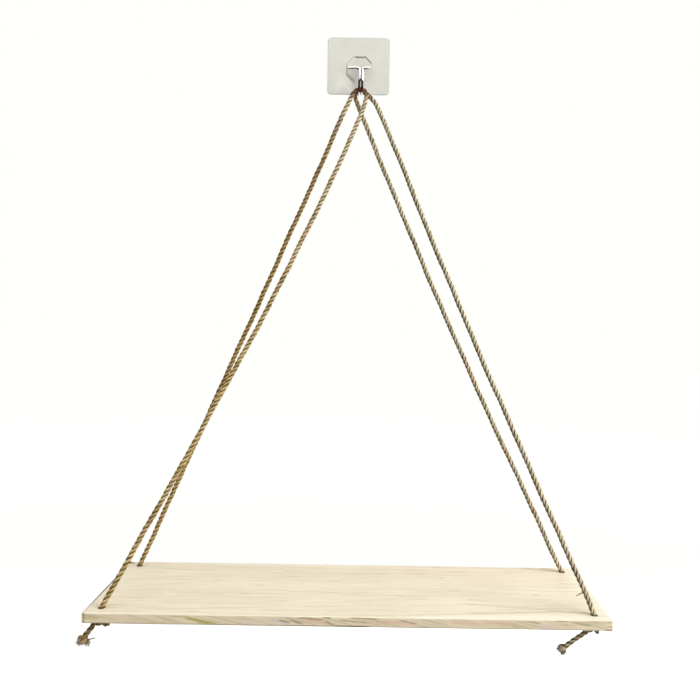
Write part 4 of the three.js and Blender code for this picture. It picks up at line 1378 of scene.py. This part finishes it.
def addHook():
    # What the wire has to mirror is painted on it. "sky" is where its skin faces up, forward or right, but
    # for a dusky line square to the side. "black" is the limb in front, the underside of the arms and
    # the cleft between the legs, which leans. "chalk" is the narrow inside of that limb and the right
    # arm's end, "russet" the short stretch of the limb over the ropes and "scuffed" the bottom that the
    # ropes have rubbed.
    line = hookLine()
    sideA, sideB = carriedSides(line, (0, 0, 1))
    radii = np.full((len(line), hook["sides"]), hook["wireRadius"] * mm)
    radii[[0, -1]] *= 0.8
    points, quads, triangles = sweep(line, sideA, sideB, radii)
    piece = newPiece("hook_wire", *joined([(points, quads, triangles)]), "hook", "steel", steelMaterial())
    centres = np.repeat(line, hook["sides"], axis=0)
    outward = unit(points[:len(centres)] - centres)
    x, y, z = (points[:len(centres)] / mm - hook["pivot"]).T

    def within(values, *names):
        return math.prod(smoothStep(values, *hookBands[name]) for name in names)

    facing = within(outward @ (0.45, -0.45, 0.75), "sky") * (1 - 0.85 * within(np.abs(outward[:, 0]), "square"))
    forward = within(outward[:, 1], "forward")
    bottom, limb, arm = within(z, "bottom"), within(y, "limb"), within(z, "arm")
    overTip = np.maximum(z - hook["tipRise"] + hook["stemLength"], 0)
    outer = within(np.hypot(x, overTip), "outer")
    lean = np.clip(0.5 + 0.13 * (z + 2.5), -0.7, 0.5)
    cleft = within(np.abs(x - lean), "cleft") * within(z, "cleftTop") * (1 - limb) * (1 - bottom)
    under = arm * within(np.abs(x), "armNear") * within(np.abs(x - 0.5), "armFar")
    under *= within(outward[:, 2], "downward")
    masks = {
        "sky": np.maximum(facing * (1 - cleft), bottom),
        "scuffed": bottom,
        "black": forward * np.maximum(limb * outer * (1 - bottom), np.maximum(cleft, under)),
        "chalk": forward * np.maximum(limb * (1 - outer) * within(z, "inside"), arm * within(x, "armEnd")),
        "russet": forward * limb * within(z, "ropesBelow", "ropesAbove"),
    }
    for label, values in masks.items():
        addMask(piece, label, np.concatenate([values, [0, 0]]))
    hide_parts("wire_hook")


addHook()
print("hook made")


# Floor, world and lamps

studio = {
    "floorLevel": -1.25,
    "floorHalf": 14.0,
    "floorColour": 0.55,
    "floorGlow": (0.72, 0.86),      # under the object, and far from it
    "glowReach": (1.3, 5.0),
    "paper": (1.0, 1.0, 0.975, 1),  # the white behind
    "worldFill": 0.27,
    "direct": ("Camera", "Glossy", "Transmission"),         # rays that see that white
    # name, place, target, diameter, watts
    "lamps": [
        ("top", (0.15, -0.45, 1.7), (0, -0.06, -0.4), 1.4, 13.4),
        ("right", (1.8, -0.95, 0.5), (0, -0.06, -0.25), 1.9, 48.0),
        ("front", (0.3, -2.2, -0.1), (0, -0.06, -0.25), 1.2, 6.2),
        ("left", (-1.8, -0.35, 0.0), (0, -0.06, -0.25), 1.2, 9.0),
        ("back", (0.6, 2.2, -0.75), (0, -0.06, -0.3), 1.0, 30.0),
    ],
}


def addWhite(scene):
    # What the lens, a mirror or glass sees is the paper's white. The rest of the light has its own strength.
    world = bpy.data.worlds.new("studio")
    scene.world = world
    world.use_nodes = True
    tree = world.node_tree
    background = tree.nodes["Background"]
    background.inputs["Color"].default_value = studio["paper"]
    strength = addNode(tree, "MapRange", inputs={
        "Value": anyRay(tree, studio["direct"]), "To Min": studio["worldFill"], "To Max": 1.0,
    })
    tree.links.new(strength.outputs["Result"], background.inputs["Strength"])


def addFloor(scene):
    # A plain square that also glows for direct rays, more so with the distance from the origin.
    half, level = studio["floorHalf"], studio["floorLevel"]
    mesh = bpy.data.meshes.new("floor")
    corners = [(x * half, y * half, level) for x, y in ((-1, -1), (1, -1), (1, 1), (-1, 1))]
    mesh.from_pydata(corners, [], [(0, 1, 2, 3)])
    material, tree, shader = newTree("floor")
    shader.inputs["Base Color"].default_value = (studio["floorColour"],) * 3 + (1,)
    shader.inputs["Roughness"].default_value = 0.9
    shader.inputs["Specular IOR Level"].default_value = 0.0
    shader.inputs["Emission Color"].default_value = studio["paper"]
    away = addNode(tree, "VectorMath", {"operation": "LENGTH"}, {0: objectPlace(tree)[0]}).outputs["Value"]
    glow = spread(tree, away, *studio["glowReach"], *studio["floorGlow"])
    glow = compute(tree, "MULTIPLY", anyRay(tree, studio["direct"]), glow)
    tree.links.new(glow, shader.inputs["Emission Strength"])
    mesh.materials.append(material)
    floor = bpy.data.objects.new("floor", mesh)
    scene.collection.objects.link(floor)


def addLamps(scene):
    # Round lamps, each turned so that its back looks away from its target.
    for name, place, target, size, power in studio["lamps"]:
        data = bpy.data.lights.new(name, "AREA")
        data.shape = "DISK"
        data.size = size
        data.energy = power
        lamp = bpy.data.objects.new(name, data)
        way = Vector(place) - Vector(target)
        lamp.matrix_world = Matrix.Translation(place) @ way.to_track_quat("Z", "Y").to_matrix().to_4x4()
        scene.collection.objects.link(lamp)


scene = bpy.context.scene
addWhite(scene)
addFloor(scene)
addLamps(scene)
scene.view_settings.view_transform = "Standard"
print("studio made")
